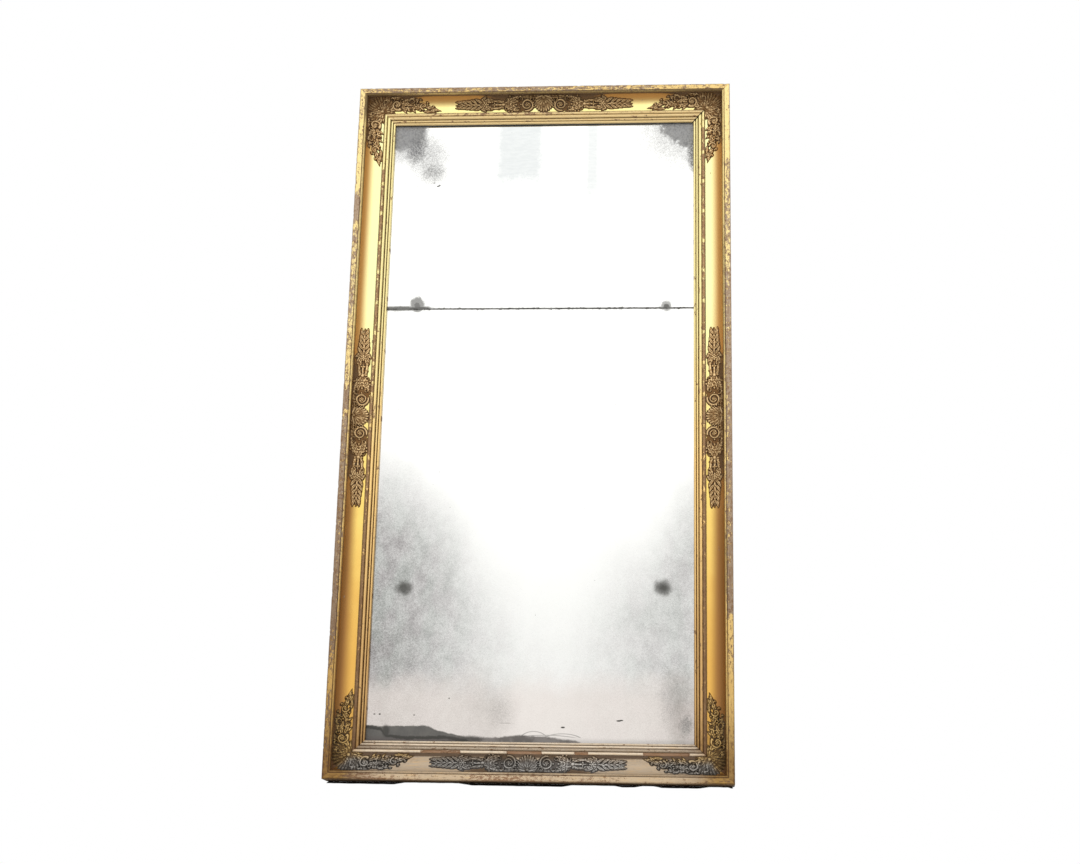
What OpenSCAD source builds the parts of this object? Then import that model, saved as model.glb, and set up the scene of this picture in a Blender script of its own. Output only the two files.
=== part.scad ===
// Tall gilt pier mirror: two silvered plates in a mitred cove frame with cast
// ornaments, held from behind by a panelled wooden back with two hanging rings.
// The front faces -Y, +Z is up, and the bottom edge stands on z = 0.

/* [Frame] */
// Overall width of the frame
frame_w = 1030; // [990:10:1400]
// Overall height of the frame
frame_h = 1904; // [1500:10:2300]
// Thickness of the frame from the lip front to the back face
frame_d = 72; // [72:1:100]
// Width of the solid wood behind the cove, outside the rebate for the back
body_w = 62; // [52:1:66]

/* [Lip] */
// Width of the flat outer lip with its bead
lip_w = 22; // [18:1:29]
// Thickness of the lip
lip_t = 8; // [6:1:12]
// Width of the quarter-round bead on the inner edge of the lip
lip_bead_w = 5; // [3:0.5:5.5]
// Radius of the groove beside the bead
lip_groove_r = 1.2; // [0.8:0.1:2]
// Width of the bevel along the outer front edge of the lip
lip_bevel = 2.5; // [0.5:0.5:4]

/* [Cove] */
// Width of the hollow part of the cove
cove_w = 28; // [23:1:35]
// Depth of the hollow below the lip
cove_drop = 17; // [12:1:20]
// Width of the flat ground between the cove and the reeds
ground_w = 19; // [14:1:26]

/* [Sight moulding] */
// Width of the outer reed
outer_reed_w = 8; // [5:0.5:12]
// Width of the broad bright reed
main_reed_w = 9.5; // [6:0.5:14]
// Width of each of the two inner reeds
inner_reed_w = 6.75; // [4:0.25:10]
// Step down across the broad reed
main_reed_drop = 5; // [2:0.5:7]
// Step down across each inner reed
inner_reed_drop = 2.25; // [1:0.25:3]
// Thickness of the moulding at the sight edge
sight_edge_t = 7; // [4:0.5:12]

/* [Mirror plates] */
// Thickness of the plates
plate_t = 5; // [3:0.5:8]
// How far the moulding laps over the plates
plate_lap = 10.5; // [6:0.5:14]
// Clearance round the plates in the rebate
plate_gap = 1.5; // [1:0.5:3]
// Distance from the top of the frame to the joint between the plates
joint_from_top = 643; // [480:1:800]
// Thickness of the felt pads behind the plates
pad_t = 2; // [1:0.5:4]
// Radius of the felt pads
pad_r = 16; // [8:1:24]
// Distance of the pads from the side edges of the frame
pad_u = 179; // [170:1:230]
// Height of the lower pair of pads
low_pad_z = 495; // [440:1:560]

/* [Wooden back] */
// Thickness of the back's frame members
back_t = 14; // [14:1:18]
// Width of the back's stiles and end rails
back_member_w = 90; // [80:2:96]
// Width of the two cross rails
cross_rail_w = 80; // [66:2:100]
// Width of the upright muntins
muntin_w = 70; // [50:2:100]
// Thickness of the panels
panel_t = 6; // [4:0.5:7]
// Depth of the grooves that hold the panels
groove_d = 9; // [6:1:12]
// Length of the tenons
tenon_l = 45; // [30:1:60]
// Shoulder left above and below each tenon
tenon_shoulder = 10; // [6:1:16]
// Clearance between the back and its rebate
back_gap = 1; // [0.5:0.5:2]
// Clearance of glued and slotted joints
joint_gap = 0.1; // [0.05:0.05:0.2]

/* [Fasteners] */
// Radius of the pegs through the tenons
peg_r = 4; // [3:0.5:6]
// Shank radius of the screws
screw_r = 2; // [1.5:0.25:2.5]
// Head radius of the screws
screw_head_r = 4; // [3.5:0.25:5]
// Height of the countersunk heads
screw_head_t = 2.5; // [2:0.25:3]
// Length of the screws that hold the back in the frame
back_screw_l = 26; // [22:1:28]
// Length of the hanger plates' screws
hanger_screw_l = 12; // [8:0.5:13]
// Length of the butterfly keys across the mitres
key_l = 50; // [36:1:54]
// Width of the butterfly keys at their ends
key_w = 24; // [16:1:26]
// Depth of the butterfly keys
key_t = 8; // [5:1:14]

/* [Hangers] */
// Distance from the top of the frame to the ring's pivot
hanger_from_top = 185; // [175:1:300]
// Distance of the hangers from the side edges of the frame
hanger_u = 110; // [96:1:130]
// Width of the hanger plates
hanger_w = 36; // [30:1:44]
// Length of the hanger plates
hanger_l = 72; // [56:1:90]
// Thickness of the hanger plates
hanger_t = 1.8; // [1.2:0.1:1.9]
// Radius of the ring's wire
ring_wire_r = 2; // [1.5:0.1:2]
// Running clearance of the ring in its knuckle
ring_clear = 0.05; // [0.02:0.01:0.08]
// Wall of the rolled knuckle
knuckle_wall = 2.15; // [1.6:0.05:2.2]
// Length of the knuckle
knuckle_l = 22; // [16:1:24]
// Half the spacing of the ring's legs, and the radius of its bow
ring_bow_r = 16; // [15:1:22]
// Length of the ring's straight legs
ring_leg = 10; // [6:1:16]

/* [Ornaments] */
// Length of each arm of a corner casting from the outer corner
corner_reach = 227; // [200:1:240]
// Half the length of a centre casting
centre_reach = 252; // [220:1:254]
// Thickness of the castings' ground
cast_t = 3; // [2:0.5:5]
// Thickness of the castings' high relief
relief_t = 7; // [5:0.5:8]

/* [Hidden] */
$fn = 64;

// Section stations: u is measured from the outer edge inwards, d from the lip front backwards.
ground_d = lip_t + cove_drop;
cove_r = (cove_w * cove_w + cove_drop * cove_drop) / (2 * cove_drop);
ground_u = lip_w + cove_w;
cove_steps = 6;
reed_u = ground_u + ground_w;
main_reed_u = reed_u + outer_reed_w;
inner_reed_u = main_reed_u + main_reed_w;
sight_u = inner_reed_u + 2 * inner_reed_w;
outer_reed_drop = 0.5;
main_reed_d = ground_d + outer_reed_drop;
inner_reed_d = main_reed_d + main_reed_drop;
sight_d = inner_reed_d + 2 * inner_reed_drop;
plate_d = sight_d + sight_edge_t;
shoulder_d = plate_d + plate_t + pad_t;
back_face_d = shoulder_d + back_t;
tongue_u = sight_u - plate_lap - plate_gap;
plate_u = tongue_u + plate_gap;
back_u = body_w + back_gap;

// Heights of the back's rails, given as the lower edge of each.
bottom_rail_z = back_u;
top_rail_z = frame_h - back_u - back_member_w;
joint_z = frame_h - joint_from_top;
upper_cross_z = joint_z - cross_rail_w / 2;
lower_cross_z = low_pad_z - cross_rail_w / 2;
back_half_w = frame_w / 2 - back_u;
rail_half_w = back_half_w - back_member_w;
panel_slot = panel_t + 2 * joint_gap;
panel_d = shoulder_d + (back_t - panel_t) / 2;
panel_tuck = groove_d - 1;
peg_u = back_u + back_member_w - tenon_l / 2;
peg_step = 15;

// Screw lines between the frame's rebate and the edge of the plates.
back_screw_u = (back_u + plate_u) / 2;
stile_screw_z = [for (k = [0:4]) back_u + 60 + k * (frame_h - 2 * back_u - 120) / 4];
rail_screw_x = [for (k = [-1:1]) k * rail_half_w * 0.72];

// Hanger places.
hanger_x = frame_w / 2 - hanger_u;
ring_z = frame_h - hanger_from_top;
knuckle_bore_r = ring_wire_r + ring_clear;
knuckle_r = knuckle_bore_r + knuckle_wall;
ring_d = back_face_d + knuckle_r;
hanger_screw_inset = 9;
knuckle_neck = 10;

// ---------------------------------------------------------------- helpers

// Moves pieces drawn with their depth measured from the lip front to the part's frame.
module seated() {
    translate([0, -frame_d / 2, 0]) children();
}

// Runs a section up the left side. The section's x is u and its y is d.
module stile_run() {
    translate([-frame_w / 2, 0, 0]) linear_extrude(frame_h) children();
}

// Runs a section along the bottom.
module rail_run() {
    translate([frame_w / 2, 0, 0]) rotate([0, -90, 0]) linear_extrude(frame_w) children();
}

// Extrudes a drawing in the x-z plane from depth d0 to depth d1.
module through_depth(d0, d1) {
    translate([0, d1, 0]) rotate([90, 0, 0]) linear_extrude(d1 - d0) children();
}

// Everything that belongs to the left side once the corners are cut at 45 degrees.
module stile_mitre() {
    through_depth(-1, frame_d + 1)
        polygon([[-frame_w / 2, 0], [-frame_w / 2, frame_h],
                 [-frame_w / 2 + sight_u + 1, frame_h - sight_u - 1],
                 [-frame_w / 2 + sight_u + 1, sight_u + 1]]);
}

// The same for the bottom.
module rail_mitre() {
    through_depth(-1, frame_d + 1)
        polygon([[-frame_w / 2, 0], [frame_w / 2, 0],
                 [frame_w / 2 - sight_u - 1, sight_u + 1],
                 [-frame_w / 2 + sight_u + 1, sight_u + 1]]);
}

module to_right() {
    mirror([1, 0, 0]) children();
}

module to_top() {
    translate([0, 0, frame_h]) mirror([0, 0, 1]) children();
}

module on_four_corners() {
    children();
    to_right() children();
    to_top() children();
    to_top() to_right() children();
}

// Box between two corners.
module block(low, high) {
    translate(low) cube(high - low);
}

// ---------------------------------------------------------------- sections

// Main member: cove and ground in front, rebates for the plates and the back behind.
module cove_section() {
    difference() {
        polygon([[0, lip_t], [lip_w, lip_t], [lip_w, ground_d - cove_drop],
                 [ground_u, ground_d - cove_drop], [ground_u, ground_d],
                 [reed_u, ground_d], [reed_u, plate_d], [tongue_u, plate_d],
                 [tongue_u, shoulder_d], [body_w, shoulder_d], [body_w, frame_d], [0, frame_d]]);
        translate([ground_u, ground_d - cove_r]) circle(cove_r, $fn = 96);
    }
}

// Lip: bevel, flat, groove and quarter-round bead.
module lip_section() {
    bead_u = lip_w - lip_bead_w;
    difference() {
        union() {
            polygon([[0, lip_bevel], [lip_bevel, 0], [bead_u, 0], [bead_u, lip_bead_w],
                     [lip_w, lip_bead_w], [lip_w, lip_t], [0, lip_t]]);
            intersection() {
                translate([bead_u, lip_bead_w]) circle(lip_bead_w);
                square([lip_w, lip_bead_w]);
            }
        }
        translate([bead_u - lip_groove_r, 0]) circle(lip_groove_r);
    }
}

// One reed of the sight moulding, between two depths.
module reed(u, w, d0, d1) {
    translate([u + w / 2, (d0 + d1) / 2]) circle(w / 2);
}

// Sight moulding: four reeds stepping down to the plates.
module sight_section() {
    second_d = inner_reed_d + inner_reed_drop;
    second_u = inner_reed_u + inner_reed_w;
    intersection() {
        union() {
            polygon([[reed_u, ground_d], [main_reed_u, main_reed_d], [inner_reed_u, inner_reed_d],
                     [second_u, second_d], [sight_u, sight_d], [sight_u, plate_d], [reed_u, plate_d]]);
            reed(reed_u, outer_reed_w, ground_d, main_reed_d);
            reed(main_reed_u, main_reed_w, main_reed_d, inner_reed_d);
            reed(inner_reed_u, inner_reed_w, inner_reed_d, second_d);
            reed(second_u, inner_reed_w, second_d, sight_d);
        }
        translate([reed_u, 0]) square([sight_u - reed_u, plate_d]);
    }
}

// Point on the cove, or at a height above it, as seen from the middle of its hollow.
function cove_point(angle, height) =
    [ground_u, ground_d - cove_r] + (cove_r - height) * [-cos(angle), sin(angle)];

// Skin of thickness t over the cove and the ground, which the castings are cut from.
module casting_section(t) {
    start = acos((cove_w - joint_gap) / cove_r);
    angles = [for (k = [0:cove_steps]) start + (90 - start) * k / cove_steps];
    seat = [for (a = angles) cove_point(a, 0)];
    face = [for (k = [cove_steps:-1:0]) cove_point(angles[k], t)];
    end_u = reed_u - joint_gap;
    polygon(concat(seat, [[end_u, ground_d], [end_u, ground_d - t]], face));
}

// ---------------------------------------------------------------- frame members

module key_outline(grow) {
    half = key_l / 2 + grow;
    wide = key_w / 2 + grow;
    waist = key_w / 4 + grow;
    translate([body_w / 2, body_w / 2]) rotate(-45)
        polygon([[-half, -wide], [0, -waist], [half, -wide], [half, wide], [0, waist], [-half, wide]]);
}

// The butterfly key of the bottom left corner, or the pocket that it is let into.
module corner_key(grow) {
    through_depth(frame_d - key_t - grow, frame_d + 10 * grow)
        translate([-frame_w / 2, 0]) key_outline(grow);
}

// A countersunk screw with its head at depth d, or its hole. A hole is longer and has no slot.
module screw(x, z, d, length, grow) {
    translate([x, d, z]) rotate([90, 0, 0]) {
        difference() {
            union() {
                cylinder(r = screw_r + grow, h = length + grow * 5);
                cylinder(r1 = screw_head_r + grow, r2 = screw_r + grow, h = screw_head_t);
                if (grow > 0) translate([0, 0, -1]) cylinder(r = screw_head_r + grow, h = 1);
            }
            if (grow == 0) translate([-screw_head_r, -0.4, -1]) cube([2 * screw_head_r, 0.8, 1.9]);
        }
    }
}

module stile_screws(grow) {
    for (z = stile_screw_z)
        screw(-frame_w / 2 + back_screw_u, z, back_face_d, back_screw_l, grow);
}

module rail_screws(grow) {
    for (x = rail_screw_x)
        screw(x, back_screw_u, back_face_d, back_screw_l, grow);
}

module side_member() {
    color("goldenrod") difference() {
        intersection() {
            stile_run() cove_section();
            stile_mitre();
        }
        corner_key(joint_gap);
        to_top() corner_key(joint_gap);
        stile_screws(joint_gap);
    }
}

module end_member() {
    color("goldenrod") difference() {
        intersection() {
            rail_run() cove_section();
            rail_mitre();
        }
        corner_key(joint_gap);
        to_right() corner_key(joint_gap);
        rail_screws(joint_gap);
    }
}

module side_lip() {
    color("darkgoldenrod") intersection() {
        stile_run() lip_section();
        stile_mitre();
    }
}

module end_lip() {
    color("darkgoldenrod") intersection() {
        rail_run() lip_section();
        rail_mitre();
    }
}

module side_sight() {
    color("gold") difference() {
        intersection() {
            stile_run() sight_section();
            stile_mitre();
        }
        stile_screws(joint_gap);
    }
}

module end_sight() {
    color("gold") difference() {
        intersection() {
            rail_run() sight_section();
            rail_mitre();
        }
        rail_screws(joint_gap);
    }
}

module left_stile() { seated() side_member(); }
module right_stile() { seated() to_right() side_member(); }
module bottom_rail() { seated() end_member(); }
module top_rail() { seated() to_top() end_member(); }
module left_lip() { seated() side_lip(); }
module right_lip() { seated() to_right() side_lip(); }
module bottom_lip() { seated() end_lip(); }
module top_lip() { seated() to_top() end_lip(); }
module left_sight_moulding() { seated() side_sight(); }
module right_sight_moulding() { seated() to_right() side_sight(); }
module bottom_sight_moulding() { seated() end_sight(); }
module top_sight_moulding() { seated() to_top() end_sight(); }

module mitre_keys() {
    color("peru") seated() on_four_corners() corner_key(0);
}

// ---------------------------------------------------------------- plates

plate_half_w = frame_w / 2 - plate_u;

module lower_mirror_plate() {
    color("lightsteelblue") seated()
        block([-plate_half_w, plate_d, plate_u], [plate_half_w, plate_d + plate_t, joint_z]);
}

module upper_mirror_plate() {
    color("lightsteelblue") seated()
        block([-plate_half_w, plate_d, joint_z], [plate_half_w, plate_d + plate_t, frame_h - plate_u]);
}

// Thin wooden blocks that carry and centre the plates in the rebate.
module plate_blocks() {
    block_l = 60;
    side_z = [plate_u + 120, joint_z - 120, joint_z + 120, frame_h - plate_u - 120];
    color("burlywood") seated() {
        for (side = [-1, 1], end = [0, 1]) {
            x = side * plate_half_w * 0.6;
            z = end == 0 ? tongue_u : frame_h - plate_u;
            block([x - block_l / 2, plate_d, z], [x + block_l / 2, plate_d + plate_t, z + plate_gap]);
        }
        for (side = [0, 1], z = side_z) {
            x = side == 0 ? -plate_half_w - plate_gap : plate_half_w;
            block([x, plate_d, z - block_l / 2], [x + plate_gap, plate_d + plate_t, z + block_l / 2]);
        }
    }
}

// Felt pads between the plates and the cross rails of the back.
module felt_pads() {
    color("dimgray") seated()
        for (side = [-1, 1], z = [low_pad_z, joint_z])
            translate([side * (frame_w / 2 - pad_u), shoulder_d, z])
                rotate([90, 0, 0]) cylinder(r = pad_r, h = pad_t);
}

// ---------------------------------------------------------------- castings

// Pointed leaf along +X from its stalk at the origin.
module leaf(length, width) {
    n = 5;
    upper = [for (i = [0:n]) [length * i / n, width / 2 * sin(180 * pow(i / n, 0.8))]];
    lower = [for (i = [n - 1:-1:1]) [length * i / n, -width / 2 * sin(180 * pow(i / n, 0.8))]];
    polygon(concat(upper, lower));
}

// Leaf from one place in the casting to another.
module leaf_to(from, to, width) {
    step = to - from;
    translate(from) rotate(atan2(step[1], step[0])) leaf(norm(step), wide(width));
}

// Rolled scroll: a band that winds inwards from radius r by the given angle.
module volute(at, r, start, turn, width) {
    n = 15;
    hand = sign(turn);
    function spiral(t, w) =
        (wide(r) * (1 - 0.62 * t) + w) * [cos(start + turn * t), sin(start + turn * t)];
    outer = [for (i = [0:n]) spiral(i / n, wide(width) * (0.5 - 0.2 * i / n))];
    inner = [for (i = [n:-1:0]) spiral(i / n, -wide(width) * (0.5 - 0.2 * i / n))];
    translate(at) polygon(hand > 0 ? concat(outer, inner) : concat(inner, outer));
}

// Round flower with petals.
module rosette(at, r, petals) {
    translate(at) {
        circle(wide(r) * 0.62, $fn = 24);
        for (k = [0:petals - 1])
            rotate(k * 360 / petals) translate([wide(r) * 0.62, 0]) circle(wide(r) * 0.36, $fn = 16);
    }
}

// Fan of leaves that spread from one place.
module palmette(at, r, heading, spread, count, width) {
    for (k = [0:count - 1]) {
        side = 2 * k / (count - 1) - 1;
        translate(at) rotate(heading + side * spread)
            leaf(wide(r) * (1 - 0.16 * side * side), wide(width));
    }
}

// Stations along one arm of a corner casting, as shares of its reach.
function arm(s) = s / 227 * corner_reach;

// Stations across a casting, from the lip side (0) to the reed side (1).
cast_low = lip_w + joint_gap;
cast_high = reed_u - joint_gap;
function across(t) = cast_low + (cast_high - cast_low) * t;

// Breadth of a leaf, scroll or disc, drawn for a casting of this width.
drawn_cast_w = 46.8;
function wide(w) = w / drawn_cast_w * (cast_high - cast_low);

// Lower ground of one arm of a corner casting: x runs along the member, y is u.
module arm_ground() {
    palmette([across(0.98), across(0.98)], 48, -135, 84, 11, 9);
    circle_at([across(0.98), across(0.98)], 6.3);
    circle_at([across(0.62), across(0.62)], 16);
    leaf_to([arm(58), across(0.9)], [arm(112), across(0.62)], 17);
    volute([arm(104), across(0.44)], 15.5, 60, 330, 7);
    circle_at([arm(104), across(0.44)], 11);
    leaf_to([arm(84), across(0.3)], [arm(66), across(0.05)], 11);
    leaf_to([arm(112), across(0.5)], [arm(150), across(0.9)], 15);
    leaf_to([arm(112), across(0.4)], [arm(152), across(0.5)], 15);
    circle_at([arm(138), across(0.47)], 14);
    leaf_to([arm(114), across(0.3)], [arm(142), across(0.12)], 11);
    leaf_to([arm(140), across(0.62)], [arm(186), across(0.46)], 14);
    leaf_to([arm(148), across(0.7)], [arm(166), across(0.97)], 9);
    volute([arm(178), across(0.44)], 11.5, 100, 320, 6);
    circle_at([arm(178), across(0.44)], 8);
    leaf_to([arm(180), across(0.52)], [arm(212), across(0.66)], 15);
    leaf_to([arm(190), across(0.4)], [arm(211), across(0.42)], 9);
    leaf_to([arm(199), across(0.7)], [arm(227), across(0.84)], 10);
    leaf_to([arm(196), across(0.7)], [arm(212), across(0.95)], 8);
}

// High relief of the same arm.
module arm_relief() {
    palmette([across(0.95), across(0.95)], 44, -135, 80, 9, 3.6);
    circle_at([across(0.95), across(0.95)], 2.5);
    leaf_to([arm(66), across(0.82)], [arm(106), across(0.62)], 7);
    volute([arm(104), across(0.44)], 15.5, 60, 330, 4);
    rosette([arm(104), across(0.44)], 6.5, 6);
    leaf_to([arm(114), across(0.54)], [arm(147), across(0.84)], 5);
    leaf_to([arm(116), across(0.42)], [arm(149), across(0.49)], 5);
    volute([arm(178), across(0.44)], 11.5, 100, 320, 3.4);
    rosette([arm(178), across(0.44)], 4.6, 5);
    leaf_to([arm(184), across(0.54)], [arm(209), across(0.65)], 5);
    leaf_to([arm(203), across(0.72)], [arm(225), across(0.83)], 4);
}

// Half of a centre casting, from its middle to one end: x runs along the member, y is u.
function run(s) = s / 252 * centre_reach;

module circle_at(at, r) {
    translate(at) circle(wide(r), $fn = 32);
}

module middle_ground() {
    palmette([0, across(0.08)], 41, 90, 80, 11, 10);
    circle_at([0, across(0.5)], 20);
}

module middle_relief() {
    palmette([0, across(0.1)], 38, 90, 74, 9, 3.6);
}

// Places of the leaves on each side of the ear at the end of the casting.
ear_leaf_start = [180, 196, 212];
ear_leaf_end = [212, 228, 242];
ear_leaf_half = [0.34, 0.29, 0.22];

module half_ground() {
    leaf_to([run(6), across(0.1)], [run(64), across(0.12)], 12);
    circle_at([run(47), across(0.5)], 19);
    circle_at([run(84), across(0.48)], 20);
    leaf_to([run(112), across(0.5)], [run(58), across(0.06)], 18);
    leaf_to([run(112), across(0.5)], [run(58), across(0.94)], 18);
    circle_at([run(104), across(0.26)], 7.5);
    circle_at([run(104), across(0.72)], 7.5);
    leaf_to([run(106), across(0.5)], [run(158), across(0.5)], 20);
    leaf_to([run(176), across(0.46)], [run(134), across(0.14)], 13);
    leaf_to([run(176), across(0.54)], [run(134), across(0.86)], 13);
    leaf_to([run(172), across(0.46)], [run(150), across(0.04)], 12);
    leaf_to([run(172), across(0.54)], [run(150), across(0.95)], 12);
    circle_at([run(164), across(0.5)], 13);
    leaf_to([run(160), across(0.5)], [run(252), across(0.5)], 20);
    for (k = [0:2], side = [-1, 1])
        leaf_to([run(ear_leaf_start[k]), across(0.5)],
                [run(ear_leaf_end[k]), across(0.5 + side * ear_leaf_half[k])], 11);
}

module half_relief() {
    rosette([run(47), across(0.5)], 15, 8);
    leaf_to([run(12), across(0.12)], [run(60), across(0.14)], 4.5);
    leaf_to([run(108), across(0.48)], [run(62), across(0.1)], 5);
    leaf_to([run(108), across(0.52)], [run(62), across(0.9)], 5);
    leaf_to([run(106), across(0.5)], [run(70), across(0.5)], 5);
    leaf_to([run(116), across(0.5)], [run(150), across(0.5)], 6);
    leaf_to([run(170), across(0.44)], [run(139), across(0.19)], 4.5);
    leaf_to([run(170), across(0.56)], [run(139), across(0.81)], 4.5);
    rosette([run(164), across(0.5)], 8, 6);
    leaf_to([run(172), across(0.5)], [run(249), across(0.5)], 5);
    for (k = [0:2], side = [-1, 1])
        leaf_to([run(ear_leaf_start[k] + 4), across(0.5 + side * 0.04)],
                [run(ear_leaf_end[k] - 3), across(0.5 + side * (ear_leaf_half[k] - 0.05))], 4);
}

// Cuts one layer of a corner casting out of the skin over the left side.
module side_arm(t) {
    intersection() {
        stile_run() casting_section(t);
        stile_mitre();
        through_depth(0, frame_d) translate([-frame_w / 2, 0]) mirror([1, -1]) children();
    }
}

// The same over the bottom.
module end_arm(t) {
    intersection() {
        rail_run() casting_section(t);
        rail_mitre();
        through_depth(0, frame_d) translate([-frame_w / 2, 0]) children();
    }
}

// Bead at the root of the palmette, which ties both arms together.
module corner_bead() {
    through_depth(ground_d - relief_t, ground_d)
        translate([-frame_w / 2, 0]) circle_at([across(0.85), across(0.85)], 5.5);
}

module corner_ornament() {
    color("saddlebrown") {
        corner_bead();
        side_arm(cast_t) arm_ground();
        end_arm(cast_t) arm_ground();
        side_arm(relief_t) arm_relief();
        end_arm(relief_t) arm_relief();
    }
}

module both_halves() {
    children();
    mirror([1, 0]) children();
}

// Whole layers of a centre casting.
module centre_ground() {
    middle_ground();
    both_halves() half_ground();
}

module centre_relief() {
    middle_relief();
    both_halves() half_relief();
}

// Cuts one layer of a centre casting out of the skin over the bottom.
module end_run(t) {
    intersection() {
        rail_run() casting_section(t);
        through_depth(0, frame_d) children();
    }
}

// The same over the left side.
module side_run(t) {
    intersection() {
        stile_run() casting_section(t);
        through_depth(0, frame_d) translate([-frame_w / 2, frame_h / 2]) mirror([1, -1]) children();
    }
}

module end_centre_ornament() {
    color("saddlebrown") {
        end_run(cast_t) centre_ground();
        end_run(relief_t) centre_relief();
    }
}

module side_centre_ornament() {
    color("saddlebrown") {
        side_run(cast_t) centre_ground();
        side_run(relief_t) centre_relief();
    }
}

module bottom_left_corner_ornament() { seated() corner_ornament(); }
module bottom_right_corner_ornament() { seated() to_right() corner_ornament(); }
module top_left_corner_ornament() { seated() to_top() corner_ornament(); }
module top_right_corner_ornament() { seated() to_top() to_right() corner_ornament(); }
module bottom_centre_ornament() { seated() end_centre_ornament(); }
module top_centre_ornament() { seated() to_top() end_centre_ornament(); }
module left_centre_ornament() { seated() side_centre_ornament(); }
module right_centre_ornament() { seated() to_right() side_centre_ornament(); }

// ---------------------------------------------------------------- wooden back

// Tenon, or its mortise, on the left end of a rail whose lower edge is at z.
module left_tenon(z, rail_w, grow) {
    block([-rail_half_w - tenon_l - grow, panel_d - grow, z + tenon_shoulder - grow],
          [-rail_half_w, panel_d + panel_t + grow, z + rail_w - tenon_shoulder + grow]);
}

module pegs_of(z, rail_w, grow) {
    for (k = [-1, 1])
        translate([-frame_w / 2 + peg_u, back_face_d + grow, z + rail_w / 2 + k * peg_step])
            rotate([90, 0, 0]) cylinder(r = peg_r + grow, h = back_t + 2 * grow);
}

module left_pegs(grow) {
    pegs_of(bottom_rail_z, back_member_w, grow);
    pegs_of(lower_cross_z, cross_rail_w, grow);
    pegs_of(upper_cross_z, cross_rail_w, grow);
    pegs_of(top_rail_z, back_member_w, grow);
}

module back_stile() {
    color("tan") difference() {
        block([-back_half_w, shoulder_d, back_u], [-rail_half_w, back_face_d, frame_h - back_u]);
        block([-rail_half_w - groove_d, panel_d - joint_gap, bottom_rail_z + back_member_w / 2],
              [-rail_half_w + 1, panel_d + panel_t + joint_gap, top_rail_z + back_member_w / 2]);
        left_tenon(bottom_rail_z, back_member_w, joint_gap);
        left_tenon(lower_cross_z, cross_rail_w, joint_gap);
        left_tenon(upper_cross_z, cross_rail_w, joint_gap);
        left_tenon(top_rail_z, back_member_w, joint_gap);
        left_pegs(joint_gap);
        stile_screws(joint_gap);
        left_hanger_screws(joint_gap);
    }
}

// A rail of the back. Grooves run along the edges that carry panels.
module back_rail(z, rail_w, groove_below, groove_above) {
    difference() {
        union() {
            block([-rail_half_w, shoulder_d, z], [rail_half_w, back_face_d, z + rail_w]);
            left_tenon(z, rail_w, 0);
            to_right() left_tenon(z, rail_w, 0);
        }
        if (groove_below) rail_groove(z - 1, z + groove_d);
        if (groove_above) rail_groove(z + rail_w - groove_d, z + rail_w + 1);
        pegs_of(z, rail_w, joint_gap);
        to_right() pegs_of(z, rail_w, joint_gap);
    }
}

module rail_groove(z0, z1) {
    block([-rail_half_w - 1, panel_d - joint_gap, z0], [rail_half_w + 1, panel_d + panel_t + joint_gap, z1]);
}

// An upright between two rails, with stub tenons in their grooves.
module muntin(z0, z1) {
    color("tan") seated() difference() {
        union() {
            block([-muntin_w / 2, shoulder_d, z0], [muntin_w / 2, back_face_d, z1]);
            block([-muntin_w / 2, panel_d, z0 - panel_tuck],
                  [muntin_w / 2, panel_d + panel_t, z1 + panel_tuck]);
        }
        for (side = [-1, 1])
            translate([side * muntin_w / 2, panel_d + panel_t / 2, (z0 + z1) / 2])
                cube([2 * groove_d, panel_slot, z1 - z0 + 2 * groove_d + 2], center = true);
    }
}

// Left-hand panel of a bay, let into the grooves all round.
module panel(z0, z1) {
    color("wheat") seated()
        block([-rail_half_w - panel_tuck, panel_d, z0 - panel_tuck],
              [-muntin_w / 2 + panel_tuck, panel_d + panel_t, z1 + panel_tuck]);
}

lower_bay = [bottom_rail_z + back_member_w, lower_cross_z];
middle_bay = [lower_cross_z + cross_rail_w, upper_cross_z];
upper_bay = [upper_cross_z + cross_rail_w, top_rail_z];

module back_left_stile() { seated() back_stile(); }
module back_right_stile() { seated() to_right() back_stile(); }

module back_bottom_rail() {
    color("tan") seated() difference() {
        back_rail(bottom_rail_z, back_member_w, false, true);
        rail_screws(joint_gap);
    }
}

module back_top_rail() {
    color("tan") seated() difference() {
        back_rail(top_rail_z, back_member_w, true, false);
        to_top() rail_screws(joint_gap);
    }
}

module back_lower_cross_rail() { color("tan") seated() back_rail(lower_cross_z, cross_rail_w, true, true); }
module back_upper_cross_rail() { color("tan") seated() back_rail(upper_cross_z, cross_rail_w, true, true); }
module back_lower_muntin() { muntin(lower_bay[0], lower_bay[1]); }
module back_middle_muntin() { muntin(middle_bay[0], middle_bay[1]); }
module back_upper_muntin() { muntin(upper_bay[0], upper_bay[1]); }
module back_lower_left_panel() { panel(lower_bay[0], lower_bay[1]); }
module back_lower_right_panel() { to_right() panel(lower_bay[0], lower_bay[1]); }
module back_middle_left_panel() { panel(middle_bay[0], middle_bay[1]); }
module back_middle_right_panel() { to_right() panel(middle_bay[0], middle_bay[1]); }
module back_upper_left_panel() { panel(upper_bay[0], upper_bay[1]); }
module back_upper_right_panel() { to_right() panel(upper_bay[0], upper_bay[1]); }

module back_pegs() {
    color("sienna") seated() {
        left_pegs(0);
        to_right() left_pegs(0);
    }
}

module back_screws() {
    color("dimgray") seated() {
        stile_screws(0);
        to_right() stile_screws(0);
        rail_screws(0);
        to_top() rail_screws(0);
    }
}

// ---------------------------------------------------------------- hangers

// Places of the four screws in the left hanger plate.
module left_hanger_screws(grow) {
    for (side = [-1, 1], row = [0, 1]) {
        x = -hanger_x + side * (hanger_w / 2 - hanger_screw_inset);
        top = ring_z - knuckle_neck - hanger_screw_inset;
        low = ring_z - knuckle_neck - hanger_l + hanger_screw_inset;
        screw(x, row == 0 ? low : top, back_face_d + hanger_t, hanger_screw_l, grow);
    }
}

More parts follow.
